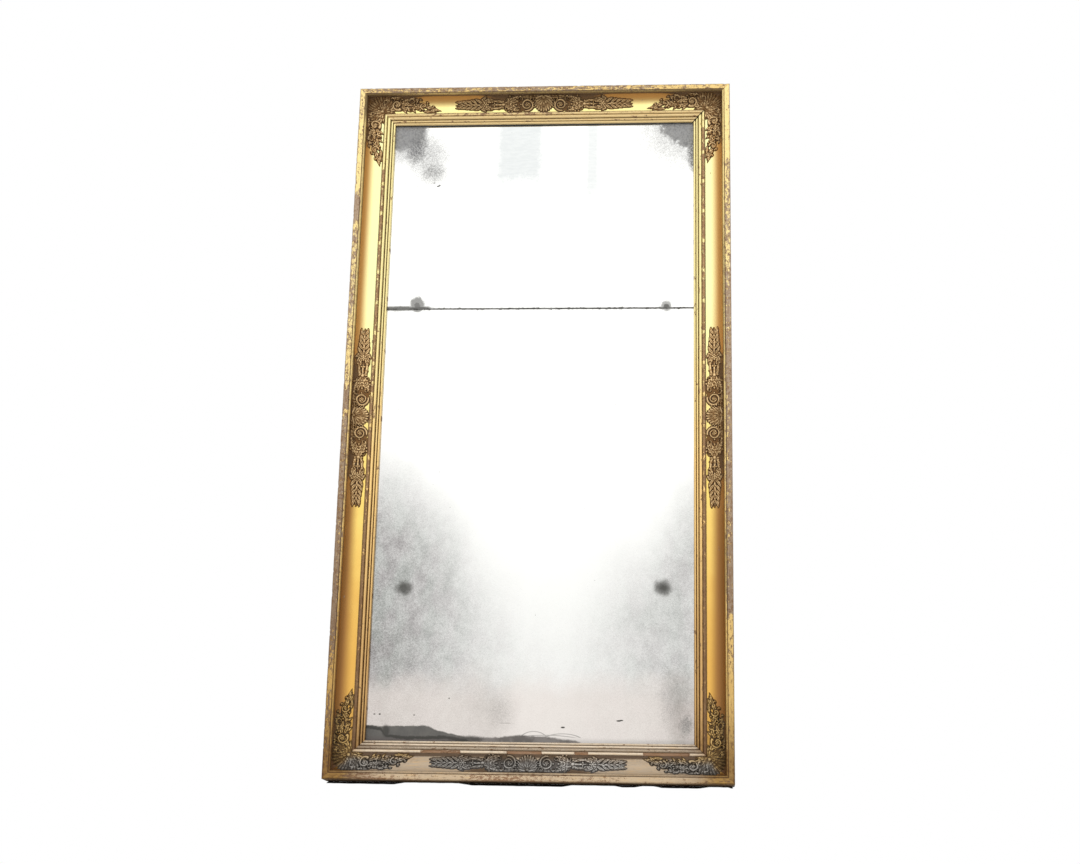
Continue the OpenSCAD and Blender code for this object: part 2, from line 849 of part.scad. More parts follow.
module hanger_plate() {
    corner_r = 5;
    color("darkslategray") difference() {
        union() {
            through_depth(back_face_d, back_face_d + hanger_t) {
                for (sx = [-1, 1], sz = [0, 1])
                    translate([-hanger_x + sx * (hanger_w / 2 - corner_r),
                               ring_z - knuckle_neck - (sz == 0 ? corner_r : hanger_l - corner_r)])
                        circle(corner_r);
                translate([-hanger_x - hanger_w / 2, ring_z - knuckle_neck - hanger_l + corner_r])
                    square([hanger_w, hanger_l - 2 * corner_r]);
                translate([-hanger_x - hanger_w / 2 + corner_r, ring_z - knuckle_neck - hanger_l])
                    square([hanger_w - 2 * corner_r, hanger_l]);
                translate([-hanger_x - knuckle_l / 2, ring_z - knuckle_neck - 1])
                    square([knuckle_l, knuckle_neck + 1]);
            }
            translate([-hanger_x - knuckle_l / 2, ring_d, ring_z]) rotate([0, 90, 0])
                cylinder(r = knuckle_r, h = knuckle_l);
        }
        translate([-hanger_x - knuckle_l / 2 - 1, ring_d, ring_z]) rotate([0, 90, 0])
            cylinder(r = knuckle_bore_r, h = knuckle_l + 2);
        left_hanger_screws(joint_gap);
    }
}

// Stirrup-shaped ring: straight bar through the knuckle, two legs and a round bow.
module hanging_ring() {
    color("dimgray") translate([-hanger_x, ring_d, ring_z]) {
        rotate([0, 90, 0]) cylinder(r = ring_wire_r, h = 2 * ring_bow_r, center = true);
        for (side = [-1, 1]) {
            translate([side * ring_bow_r, 0, -ring_leg]) cylinder(r = ring_wire_r, h = ring_leg);
            translate([side * ring_bow_r, 0, 0]) sphere(r = ring_wire_r);
        }
        translate([0, 0, -ring_leg]) rotate([90, 0, 0]) rotate([0, 0, 180])
            rotate_extrude(angle = 180) translate([ring_bow_r, 0]) circle(ring_wire_r, $fn = 32);
    }
}

module left_hanger_plate() { seated() hanger_plate(); }
module right_hanger_plate() { seated() to_right() hanger_plate(); }
module left_hanging_ring() { seated() hanging_ring(); }
module right_hanging_ring() { seated() to_right() hanging_ring(); }

module hanger_screws() {
    color("dimgray") seated() {
        left_hanger_screws(0);
        to_right() left_hanger_screws(0);
    }
}

// ---------------------------------------------------------------- nodes

top_rail();
bottom_rail();
left_stile();
right_stile();
top_lip();
bottom_lip();
left_lip();
right_lip();
top_sight_moulding();
bottom_sight_moulding();
left_sight_moulding();
right_sight_moulding();
mitre_keys();
upper_mirror_plate();
lower_mirror_plate();
plate_blocks();
felt_pads();
top_left_corner_ornament();
top_right_corner_ornament();
bottom_left_corner_ornament();
bottom_right_corner_ornament();
top_centre_ornament();
bottom_centre_ornament();
left_centre_ornament();
right_centre_ornament();
back_left_stile();
back_right_stile();
back_top_rail();
back_bottom_rail();
back_upper_cross_rail();
back_lower_cross_rail();
back_upper_muntin();
back_middle_muntin();
back_lower_muntin();
back_upper_left_panel();
back_upper_right_panel();
back_middle_left_panel();
back_middle_right_panel();
back_lower_left_panel();
back_lower_right_panel();
back_pegs();
back_screws();
left_hanger_plate();
right_hanger_plate();
hanger_screws();
left_hanging_ring();
right_hanging_ring();
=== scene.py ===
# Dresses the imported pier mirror: worn gilding, cast ornaments, old silvered plates and the bare back.
# Lengths are in millimetres here and become metres where a mesh or a node is made.
import math

import bmesh
import bpy
import numpy as np
from mathutils import Matrix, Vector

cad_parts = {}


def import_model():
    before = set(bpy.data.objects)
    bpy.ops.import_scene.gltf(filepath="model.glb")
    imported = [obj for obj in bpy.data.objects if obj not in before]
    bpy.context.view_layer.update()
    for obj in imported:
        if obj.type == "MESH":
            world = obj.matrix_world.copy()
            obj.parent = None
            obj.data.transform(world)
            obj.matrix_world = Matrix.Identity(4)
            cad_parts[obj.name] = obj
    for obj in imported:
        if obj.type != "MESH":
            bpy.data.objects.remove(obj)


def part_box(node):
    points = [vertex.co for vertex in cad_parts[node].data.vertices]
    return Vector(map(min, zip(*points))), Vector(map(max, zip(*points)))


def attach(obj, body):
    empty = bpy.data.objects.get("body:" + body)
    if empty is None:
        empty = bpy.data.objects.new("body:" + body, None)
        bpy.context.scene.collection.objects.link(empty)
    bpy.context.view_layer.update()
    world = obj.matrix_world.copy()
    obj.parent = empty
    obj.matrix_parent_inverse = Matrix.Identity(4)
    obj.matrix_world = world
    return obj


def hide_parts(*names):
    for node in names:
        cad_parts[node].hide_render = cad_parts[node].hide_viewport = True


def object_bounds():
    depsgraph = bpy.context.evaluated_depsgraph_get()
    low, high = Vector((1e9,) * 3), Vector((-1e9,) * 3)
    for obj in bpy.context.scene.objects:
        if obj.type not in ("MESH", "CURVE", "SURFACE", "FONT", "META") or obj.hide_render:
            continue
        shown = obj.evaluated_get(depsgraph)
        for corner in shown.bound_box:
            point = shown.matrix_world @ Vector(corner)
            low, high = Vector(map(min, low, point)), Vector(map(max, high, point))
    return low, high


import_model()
cad_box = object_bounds()

MM = 0.001

# ---------------------------------------------------------------- sizes from the frame


def node_box(name):
    low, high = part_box(name)
    return np.array(low) / MM, np.array(high) / MM


box_low, box_high = (np.array(corner) / MM for corner in cad_box)
FRAME_W, FRAME_D, FRAME_H = box_high - box_low
LIP_LOW, LIP_HIGH = node_box("left_lip")
LIP_W = LIP_HIGH[0] - LIP_LOW[0]
LIP_T = LIP_HIGH[1] - LIP_LOW[1]
SIGHT_LOW, SIGHT_HIGH = node_box("left_sight_moulding")
REED_U = SIGHT_LOW[0] + FRAME_W / 2
SIGHT_U = SIGHT_HIGH[0] + FRAME_W / 2
PLATE_D = SIGHT_HIGH[1] + FRAME_D / 2
JOINT_Z = node_box("lower_mirror_plate")[1][2]

# Section of the mouldings: u runs inwards from the outer edge, d backwards from the lip front.
COVE_DROP = 17
GROUND_W = 19
GROUND_U = REED_U - GROUND_W
GROUND_D = LIP_T + COVE_DROP
COVE_W = GROUND_U - LIP_W
COVE_R = (COVE_W**2 + COVE_DROP**2) / (2 * COVE_DROP)
BODY_W = 62
TONGUE_U = 88
SHOULDER_D = 49
KEY_PROUD = 0.3
LIP_BEVEL = 2.5
BEAD_W = 5
GROOVE_R = 1.2
GROOVE_U = LIP_W - BEAD_W - GROOVE_R
REEDS = ((8, 0.5), (9.5, 5), (6.75, 2.25), (6.75, 2.25))
# Share of the sight edge's inner face that stays gilt on the top side before its painted shadow line starts.
CLEAR_OF_SHADOW = 0.12
REED_SEED = {"left": 11, "right": 12, "top": 13, "bottom": 14}
SIDES = ("left", "right", "top", "bottom")

# ---------------------------------------------------------------- camera

CAM_PLACE = (0.3928, -4.4456, -0.3737)
CAM_PITCH = 16.227
CAM_YAW = 4.087
CAM_FOCAL_PX = 1757.6
CAM_CENTRE_PX = (559.7, 429.1)
IMAGE_PX = (1080, 864)
SENSOR_MM = 36


def camera():
    data = bpy.data.cameras.new("camera")
    data.sensor_width = SENSOR_MM
    data.sensor_fit = "HORIZONTAL"
    data.lens = CAM_FOCAL_PX / IMAGE_PX[0] * SENSOR_MM
    data.shift_x = (IMAGE_PX[0] / 2 - CAM_CENTRE_PX[0]) / IMAGE_PX[0]
    data.shift_y = (CAM_CENTRE_PX[1] - IMAGE_PX[1] / 2) / IMAGE_PX[0]
    cam = bpy.data.objects.new("camera", data)
    bpy.context.scene.collection.objects.link(cam)
    pitch = Matrix.Rotation(math.radians(CAM_PITCH), 4, "X")
    yaw = Matrix.Rotation(math.radians(CAM_YAW), 4, "Z")
    level = Matrix.Rotation(math.radians(90), 4, "X")
    cam.matrix_world = Matrix.Translation(CAM_PLACE) @ pitch @ yaw @ level
    bpy.context.scene.camera = cam


# ---------------------------------------------------------------- shader helper


class Nodes:
    """Short calls for a node tree."""

    def __init__(self, tree):
        self.tree = tree
        self.tree.nodes.clear()

    def add(self, kind, **settings):
        node = self.tree.nodes.new(kind)
        for key, value in settings.items():
            setattr(node, key, value)
        return node

    def join(self, source, target):
        source = getattr(source, "socket", source)
        if isinstance(source, bpy.types.NodeSocket):
            self.tree.links.new(source, target)
        else:
            target.default_value = source

    def fed(self, kind, output, inputs, **settings):
        """Adds a node, fills its inputs and gives one of its outputs."""
        node = self.add(kind, **settings)
        for key, value in inputs.items():
            self.join(value, node.inputs[key])
        return Value(self, node.outputs[output])

    def calc(self, operation, a, b=0.0, clamp=False):
        return self.fed("ShaderNodeMath", 0, {0: a, 1: b}, operation=operation, use_clamp=clamp)

    def place(self, output="Object"):
        return self.fed("ShaderNodeTexCoord", output, {})

    def held(self, name, output="Fac"):
        return self.fed("ShaderNodeAttribute", output, {}, attribute_name=name)


class Value:
    """What a node gives; each sum with it makes a node. Sizes of patterns are given in millimetres."""

    def __init__(self, nodes, socket):
        self.nodes, self.socket = nodes, socket

    def calc(self, operation, other=0.0, clamp=False):
        return self.nodes.calc(operation, self, other, clamp)

    def __add__(self, other):
        return self.calc("ADD", other)

    def __sub__(self, other):
        return self.calc("SUBTRACT", other)

    def __rsub__(self, other):
        return self.nodes.calc("SUBTRACT", other, self)

    def __mul__(self, other):
        return self.calc("MULTIPLY", other)

    def __abs__(self):
        return self.calc("ABSOLUTE")

    def about(self, reach):
        """A noise moved to lie evenly about zero."""
        return (self - 0.5) * reach

    def fade(self, low, high, to_low=0.0, to_high=1.0):
        span = {"Value": self, "From Min": low, "From Max": high, "To Min": to_low, "To Max": to_high}
        return self.nodes.fed("ShaderNodeMapRange", "Result", span, interpolation_type="SMOOTHSTEP", clamp=True)

    def blend(self, a, b):
        """Colour a where the value is 0 and b where it is 1."""
        node = self.nodes.add("ShaderNodeMix", data_type="RGBA")
        self.nodes.join(self, node.inputs["Factor"])
        for shade, socket in zip((a, b), [s for s in node.inputs if s.type == "RGBA"]):
            self.nodes.join(colour(shade), socket)
        return Value(self.nodes, next(s for s in node.outputs if s.type == "RGBA"))

    def parts(self):
        node = self.nodes.add("ShaderNodeSeparateXYZ")
        self.nodes.join(self, node.inputs[0])
        return [Value(self.nodes, output) for output in node.outputs]

    def stretched(self, scale):
        return self.nodes.fed("ShaderNodeVectorMath", 0, {0: self, 1: scale}, operation="MULTIPLY")

    def noise(self, size, detail, rough=0.55, twist=0.0):
        inputs = {"Vector": self, "Scale": 1 / (size * MM), "Detail": detail, "Roughness": rough, "Distortion": twist}
        return self.nodes.fed("ShaderNodeTexNoise", "Fac", inputs)

    def cells(self, size):
        return self.nodes.fed("ShaderNodeTexVoronoi", "Distance", {"Vector": self, "Scale": 1 / (size * MM)})

    def curve(self, points):
        """Straight stretches through points (value, result)."""
        ins, outs = zip(*points)
        low, high = min(outs), max(outs)
        share = (self - ins[0]).calc("DIVIDE", ins[-1] - ins[0], clamp=True)
        node = self.nodes.add("ShaderNodeFloatCurve")
        self.nodes.join(share, node.inputs["Value"])
        line = node.mapping.curves[0]
        places = [((at - ins[0]) / (ins[-1] - ins[0]), (found - low) / (high - low)) for at, found in points]
        line.points[0].location = places[0]
        line.points[-1].location = places[-1]
        for place in places[1:-1]:
            line.points.new(*place)
        for point in line.points:
            point.handle_type = "VECTOR"
        node.mapping.update()
        return Value(self.nodes, node.outputs["Value"]) * (high - low) + low


class Shader(Nodes):
    """A principled material."""

    def __init__(self, name):
        self.material = bpy.data.materials.new(name)
        self.material.use_nodes = True
        super().__init__(self.material.node_tree)
        self.skin = self.add("ShaderNodeBsdfPrincipled")
        self.join(self.skin.outputs[0], self.add("ShaderNodeOutputMaterial").inputs[0])

    def set(self, **sockets):
        for name, value in sockets.items():
            self.join(value, self.skin.inputs[name.replace("_", " ").title()])

    def bump(self, height, depth, strength):
        inputs = {"Strength": strength, "Distance": depth * MM, "Height": height}
        self.join(self.fed("ShaderNodeBump", 0, inputs), self.skin.inputs["Normal"])


def most(found, *others):
    for value in others:
        found = found.calc("MAXIMUM", value)
    return found


def colour(value):
    """A colour given as three numbers gets its alpha; values of nodes pass through."""
    return (*value, 1.0) if isinstance(value, tuple) and len(value) == 3 else value


def by_place(x, rows, unit=1):
    """Value by place on the width, from rows of (millimetres from the left end, value)."""
    return x.curve([((at - FRAME_W / 2) * MM, value * unit) for at, value in rows])


# ---------------------------------------------------------------- world, floor and light

FLOOR_TILT = 16
FLOOR_HALF_W = 7
FLOOR_LENGTH = 14
# Brightness of the sky in front of the mirror by the sine of its height over the mirror's level.
SKY_BY_HEIGHT = ((-1, 0.5), (-0.35, 0.7), (-0.17, 0.88), (0, 0.95), (0.1, 1.04), (0.2, 1.12), (0.3, 1.22),
                 (0.44, 1.35), (0.7, 1.25), (1, 1.05))
SKY_SIDE = 0.44
SKY_TINT = (1.0, 0.995, 0.975, 1)
GROUND_GREY = (0.68, 0.66, 0.62, 1)
WHITE = (1, 1, 1, 1)
CONTACT_SHADOW_BLACK = (0.004, 0.003, 0.003)
CONTACT_SHADOW_DARK = (0.02, 0.02, 0.02)
# How far the painted contact shadow reaches in front of the bottom edge, by place from the left end.
CONTACT_SHADOW_REACH = ((0, 24), (178, 26), (200, 3), (335, 2), (372, 25), (600, 27), (625, 7), (730, 7), (752, 24),
                 (780, 22), (800, 5), (830, 5), (850, 24), (945, 24), (965, 6), (1015, 7), (1022, 18), (1030, 14))


def shown(nodes, paper, lit, output):
    """The camera sees paper; all other rays meet lit."""
    ray = nodes.fed("ShaderNodeLightPath", "Is Camera Ray", {})
    both = nodes.fed("ShaderNodeMixShader", 0, {0: ray, 1: lit, 2: paper})
    nodes.join(both, nodes.add(output).inputs[0])


def world():
    """Overcast sky that is brightest in front and above, for light; plain white paper for the camera."""
    made = bpy.data.worlds.new("studio")
    bpy.context.scene.world = made
    made.use_nodes = True
    nodes = Nodes(made.node_tree)
    _, y, z = nodes.place("Generated").parts()
    front = y.fade(-0.2, -0.86, SKY_SIDE, 1.0)
    zenith = z.fade(0.55, 0.95, 0.0, 0.8)
    strength = z.curve(SKY_BY_HEIGHT) * most(front, zenith)
    sky = nodes.fed("ShaderNodeBackground", 0, {"Color": SKY_TINT, "Strength": strength})
    paper = nodes.fed("ShaderNodeBackground", 0, {"Color": WHITE})
    shown(nodes, paper, sky, "ShaderNodeOutputWorld")


def floor():
    """Pale floor on which the bottom edge stands while the mirror leans back; it falls away to the front and carries
    a painted contact shadow.
    """
    material = bpy.data.materials.new("floor_paint")
    material.use_nodes = True
    nodes = Nodes(material.node_tree)
    spot = nodes.place()
    x, y, _ = spot.parts()
    # clear is 0 in the painted contact shadow under the bottom edge and 1 on the open floor.
    reach = by_place(x, CONTACT_SHADOW_REACH, MM)
    ahead = float(FRAME_D / 2 * MM) - y
    clear = (ahead - (reach + spot.noise(22, 3).about(8 * MM))).fade(-1.5 * MM, 3 * MM)
    past_end = abs(x) - (FRAME_W / 2 - 4) * MM
    clear = most(clear, past_end.fade(-1 * MM, 1 * MM))
    paper = nodes.fed("ShaderNodeEmission", 0, {"Color": clear.blend(CONTACT_SHADOW_BLACK, WHITE)})
    ground = nodes.fed("ShaderNodeBsdfDiffuse", 0, {"Color": clear.blend(CONTACT_SHADOW_DARK, GROUND_GREY)})
    shown(nodes, paper, ground, "ShaderNodeOutputMaterial")
    back_y = FRAME_D / 2 * MM
    drop = FLOOR_LENGTH * math.tan(math.radians(FLOOR_TILT))
    mesh = bpy.data.meshes.new("floor")
    corners = [(-FLOOR_HALF_W, back_y, 0), (FLOOR_HALF_W, back_y, 0),
               (FLOOR_HALF_W, back_y - FLOOR_LENGTH, -drop), (-FLOOR_HALF_W, back_y - FLOOR_LENGTH, -drop)]
    mesh.from_pydata(corners, [], [(0, 3, 2, 1)])
    mesh.materials.append(material)
    plane = bpy.data.objects.new("floor", mesh)
    bpy.context.scene.collection.objects.link(plane)


# ---------------------------------------------------------------- smooth random values


def value_noise(x, y, seed, octaves):
    """Smooth random values from 0 to 1 on a lattice of unit cells."""
    total = np.zeros(np.broadcast(x, y).shape)
    weight = 0.0
    for octave in range(octaves):
        table = np.random.default_rng(seed + octave).random((64, 64))
        fx, fy = x * 2**octave, y * 2**octave
        ix, iy = np.floor(fx).astype(int), np.floor(fy).astype(int)
        tx, ty = fx - ix, fy - iy
        tx, ty = tx * tx * (3 - 2 * tx), ty * ty * (3 - 2 * ty)
        a = table[ix % 64, iy % 64] * (1 - tx) + table[(ix + 1) % 64, iy % 64] * tx
        b = table[ix % 64, (iy + 1) % 64] * (1 - tx) + table[(ix + 1) % 64, (iy + 1) % 64] * tx
        total += (a * (1 - ty) + b * ty) / 2**octave
        weight += 1 / 2**octave
    return total / weight


def ease(value, low, high):
    t = np.clip((value - low) / (high - low), 0, 1)
    return t * t * (3 - 2 * t)


def stretches(reach, rows, ramp):
    """Value along a side from rows of (end, value) that follow each other, with short ramps between them."""
    stops, values, start = [], [], 0
    for end, value in rows:
        inset = min(ramp, (end - start) / 3)
        stops += [start + inset, end - inset]
        values += [value, value]
        start = end
    return np.interp(reach, stops, values)


# ---------------------------------------------------------------- places on the frame


def side_length(side):
    return FRAME_H if side in ("left", "right") else FRAME_W


def seat(side, along, u, d):
    """Points for a place on one side: along is measured from the middle of the side."""
    y = d - FRAME_D / 2
    if side in ("left", "right"):
        hand = -1 if side == "left" else 1
        return np.stack([hand * (FRAME_W / 2 - u), y, FRAME_H / 2 + along], axis=-1)
    z = u if side == "bottom" else FRAME_H - u
    return np.stack([along + 0 * u, y, z + 0 * along], axis=-1)


def reach_of(side, along):
    """Distance from the top end of an upright side, or from the left end of a level one."""
    if side in ("left", "right"):
        return side_length(side) / 2 - along
    return side_length(side) / 2 + along


def piece(name, points, faces, materials, nodes, held=None, face_material=None):
    """Makes a closed mesh piece of the mirror body from points in millimetres."""
    mesh = bpy.data.meshes.new(name)
    mesh.from_pydata((np.asarray(points) * MM).tolist(), [], faces)
    for key, values in (held or {}).items():
        kind = "FLOAT" if values.ndim == 1 else "FLOAT_VECTOR"
        layer = mesh.attributes.new(key, kind, "POINT")
        field = "value" if values.ndim == 1 else "vector"
        layer.data.foreach_set(field, np.ascontiguousarray(values, np.float32).ravel())
    for material in materials:
        mesh.materials.append(material)
    if face_material is not None:
        mesh.polygons.foreach_set("material_index", np.asarray(face_material, np.int32))
    work = bmesh.new()
    work.from_mesh(mesh)
    bmesh.ops.recalc_face_normals(work, faces=work.faces)
    work.to_mesh(mesh)
    work.free()
    mesh.polygons.foreach_set("use_smooth", np.ones(len(mesh.polygons), bool))
    mesh.update()
    mesh.set_sharp_from_angle(angle=math.radians(40))
    made = bpy.data.objects.new(name, mesh)
    bpy.context.scene.collection.objects.link(made)
    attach(made, "mirror")
    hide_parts(*nodes)
    return made


def swept(name, side, outline, step, change, materials, nodes, gilt_rows, gaps=(0, 0)):
    """Runs a closed outline of (u, d) along a side between its two mitres.

    change returns the worn u and d with the values held by the mesh for its shader. The first gilt_rows rows of
    faces along the outline take the first material, all others the second.
    """
    half = side_length(side) / 2
    count = int(2 * half / step)
    n = len(outline)
    t = np.linspace(0, 1, count)[:, None]
    u0, d0 = (np.broadcast_to(row, (count, n)) for row in np.array(outline, float).T)
    u, d, held = change(side, (2 * t - 1) * (half - u0), u0, d0)
    along = (1 - t) * (u + gaps[0] - half) + t * (half - u - gaps[1])
    points = seat(side, along, u, d).reshape(-1, 3)
    first = np.arange(count - 1)[:, None] * n
    i = np.arange(n)
    j = (i + 1) % n
    quads = np.stack([first + i, first + j, first + n + j, first + n + i], axis=-1).reshape(-1, 4)
    faces = quads.tolist() + [list(range(n)), list(range((count - 1) * n, count * n))]
    front = np.broadcast_to(i < gilt_rows, (count - 1, n)).ravel()
    face_material = np.concatenate([np.where(front, 0, 1), [1, 1]])
    held = {key: np.broadcast_to(values, u.shape).ravel() for key, values in held.items()}
    held["run"] = np.stack([along, u, d], axis=-1).reshape(-1, 3) * MM
    return piece(name, points, faces, materials, nodes, held, face_material)


# ---------------------------------------------------------------- sections


def arc(centre, radius, start, end, steps):
    angles = np.radians(np.linspace(start, end, steps))
    return [(centre[0] + radius * math.cos(a), centre[1] + radius * math.sin(a)) for a in angles]


def lip_outline():
    """Outer side, bevel, flat, groove and quarter-round bead, then the back."""
    edge = [(0, LIP_BEVEL + 0.7), (0.25, LIP_BEVEL - 0.25), (LIP_BEVEL - 0.25, 0.25), (LIP_BEVEL + 0.7, 0)]
    flat = [(u, 0) for u in np.linspace(LIP_BEVEL + 2.2, GROOVE_U - GROOVE_R - 0.6, 7)]
    groove = arc((GROOVE_U, 0), GROOVE_R, 180, 20, 6)
    bead = arc((LIP_W - BEAD_W, BEAD_W), BEAD_W, 274, 360, 8)
    return [(0, LIP_T)] + edge + flat + groove + bead + [(LIP_W, LIP_T)]


def cove_outline():
    """Hollow and flat ground in front, and the rebates behind."""
    start = 180 - math.degrees(math.acos(COVE_W / COVE_R))
    hollow = arc((GROUND_U, GROUND_D - COVE_R), COVE_R, start, 90, 26)
    ground = [(u, GROUND_D) for u in np.linspace(GROUND_U, REED_U, 8)[1:]]
    rear = FRAME_D - KEY_PROUD
    back = [(REED_U, PLATE_D), (TONGUE_U, PLATE_D), (TONGUE_U, SHOULDER_D), (BODY_W, SHOULDER_D),
            (BODY_W, rear), (0, rear), (0, LIP_T)]
    return hollow + ground + back


def reed_stations():
    """Where each reed starts, with its width and the depths at both of its edges."""
    u, d = REED_U, GROUND_D
    found = []
    for width, drop in REEDS:
        found.append((u, width, d, d + drop))
        u, d = u + width, d + drop
    return found


def reed_chord(u):
    """Depth of the slope on which the reeds lie."""
    rows = reed_stations()
    stations = [row[0] for row in rows] + [SIGHT_U]
    depths = [row[2] for row in rows] + [rows[-1][3]]
    return np.interp(u, stations, depths)


def sight_outline():
    points = []
    for u0, width, d0, d1 in reed_stations():
        for angle in np.linspace(0, math.pi, 10)[:-1]:
            u = u0 + width * (1 - math.cos(angle)) / 2
            round_d = (d0 + d1) / 2 - width / 2 * math.sin(angle)
            points.append((u, min(round_d, float(reed_chord(u)))))
    top_d = float(reed_chord(SIGHT_U))
    shadow_line_d = top_d + CLEAR_OF_SHADOW * (PLATE_D - top_d)
    edge = [(SIGHT_U, top_d), (SIGHT_U, max(shadow_line_d - 0.5, top_d + 0.05)), (SIGHT_U, shadow_line_d), (SIGHT_U, PLATE_D)]
    return points + edge + [(REED_U, PLATE_D)]


# ---------------------------------------------------------------- wear of the mouldings

# Stretches of each lip, by end and share of the gilding that is lost, from the top or from the left.
LIP_LOSS = {
    "left": ((330, 0.38), (395, 0.78), (415, 0.3), (715, 0.54), (880, 0.5), (940, 0.8), (960, 0.4), (1580, 0.76),
             (1904, 0.44)),
    "right": ((230, 0.24), (420, 0.55), (560, 0.55), (1300, 0.72), (1480, 0.76), (1640, 0.4), (1904, 0.25)),
    "top": ((60, 0.56), (160, 0.6), (370, 0.62), (560, 0.66), (650, 0.62), (790, 0.54), (900, 0.5), (1030, 0.42)),
    "bottom": ((60, 0.3), (130, 0.55), (260, 0.45), (370, 0.3), (560, 0.5), (760, 0.42), (940, 0.22), (1030, 0.36)),
}
# The same for the outer reed. On the bottom these are stretches where the reed itself has gone.
REED_LOSS = {
    "left": ((240, 0.3), (700, 0.68), (1000, 0.66), (1904, 0.78)),
    "right": ((120, 0.3), (190, 0.7), (660, 0.72), (1200, 0.74), (1904, 0.8)),
    "top": ((190, 0.25), (300, 0.5), (420, 0.55), (560, 0.5), (1030, 0.3)),
    "bottom": ((243, 0.06), (345, 0.8), (462, 0.05), (550, 1.0), (632, 0.04), (666, 0.95), (804, 0.05), (918, 0.97),
               (1030, 0.1)),
}
# Scale of the painted height shade on each lip: the right and top lips come out less deep than the left one.
LIP_SHADE_SCALE = {"left": 1.0, "right": 0.75, "top": 1.6, "bottom": 1.0}
# Dirt and painted shade on the beads by stretches; below zero they come out lighter.
BEAD_SOIL_AND_SHADE = {
    "left": ((75, 1.1), (640, 0.44), (1000, 0.35), (1400, 0.14), (1904, 0.02)),
    "right": ((220, -0.3), (440, 0.2), (800, 0.5), (1250, 0.2), (1450, 0.5), (1904, 0.05)),
    "top": ((60, 1.1), (130, 0.8), (300, 0.55), (900, 0.7), (1030, 0.85)),
    "bottom": ((370, 0.47), (440, 0.4), (600, 0.55), (700, 0.45), (1030, 0.55)),
}
# Heights over the floor for painted light and shade: the gilding is painted pale above the first and deep by the
# second.
LIT_PALE_OVER = 1320
SHADED_DEEP_UNDER = 270
# Where the painted shade on the wall of the hollow starts to clear and ends, from the lip: high up, then near the
# floor.
WALL_SHADE_CLEARS = {"left": ((5, 28), (8, 38)), "right": ((8, 34), (15, 42)), "top": ((5, 32), (5, 32)),
               "bottom": ((2, 10), (2, 10))}
# The leaf was laid in squares; where two overlap the gilding has lasted.
LEAF_SIZE = 87
LAP_HALF = 5


def wandering(side, along, u, span, seed):
    """Reach along a side with its steps blurred, so that stretches end raggedly."""
    return reach_of(side, along) + span * (value_noise(along / 26, u / 7, seed, 3) - 0.5)


def age_and_shade(side, along):
    """Values that change along a side, for its shader.

    dust lies over the bottom rail; deep is painted shade, how much darker the gilding is painted towards the floor;
    grime is the dirt of the two lower corners.
    """
    if side == "top":
        return {"dust": 0 * along, "deep": 0.24 + 0 * along, "grime": 0 * along}
    if side == "bottom":
        from_end = side_length(side) / 2 - np.abs(along)
        strength = np.where(along < 0, 0.6, 0.42)
        return {"dust": ease(from_end, 40, 110), "deep": 1 + 0 * along, "grime": strength * ease(from_end, 185, 45)}
    up = side_length(side) / 2 + along
    deep = np.clip((LIT_PALE_OVER - up) / (LIT_PALE_OVER - SHADED_DEEP_UNDER), 0, 1)
    return {"dust": 0 * along, "deep": deep, "grime": 0.75 * ease(up, 230, 30)}


def lip_wear(side, along, u, d):
    """Dents the outer edge, sinks the bare patches and marks what is lost."""
    seed = REED_SEED[side] * 10
    lost = stretches(wandering(side, along, u, 60, seed + 2), LIP_LOSS[side], 9)
    grain = value_noise(along / 30 + 7, u / 9, seed, 4)
    kept = 0.55 * ease(u, LIP_W - BEAD_W, LIP_W - BEAD_W + 1)
    loss = np.clip(lost * (1 - kept) + 0.4 * (grain - 0.5) + 0.2 * np.exp(-u / 2.5), 0, 1)
    front = d < LIP_T - 0.5
    dent = value_noise(along / 16, u / 30, seed + 5, 3) ** 3
    sink = np.where(front & (u < LIP_W - BEAD_W), 0.35 * ease(loss, 0.45, 0.6) + 0.1 * dent, 0)
    chip = np.where(u < 4, 2.2 * ease(value_noise(along / 9, u * 0, seed + 9, 3), 0.66, 0.84), 0)
    inward = np.where(d < 5, chip * 0.35 + 0.5 * dent, 0.25 * dent) * (u < 0.3)
    # Dark groove and outer edge, the inner side of the bead and the bead's listed stretches: dirt and painted shade.
    soil_and_shade = np.exp(-(((u - GROOVE_U) / 1.2) ** 2)) + 0.6 * ease(d, BEAD_W - 1.0, BEAD_W + 1) * (u > GROOVE_U)
    shade_and_age = age_and_shade(side, along)
    on_bead = stretches(reach_of(side, along), BEAD_SOIL_AND_SHADE[side], 30) * (u > LIP_W - BEAD_W)
    soil_and_shade = soil_and_shade + 0.5 * np.exp(-u / 1.3) + on_bead
    sunk = np.where(front, np.minimum(d + sink + chip * 0.5, LIP_T - 0.6), d)
    held = {"loss": loss, "soil_and_shade": np.clip(soil_and_shade, 0, 1), **shade_and_age}
    held["deep"] = held["deep"] * LIP_SHADE_SCALE[side]
    return u + inward, sunk, held


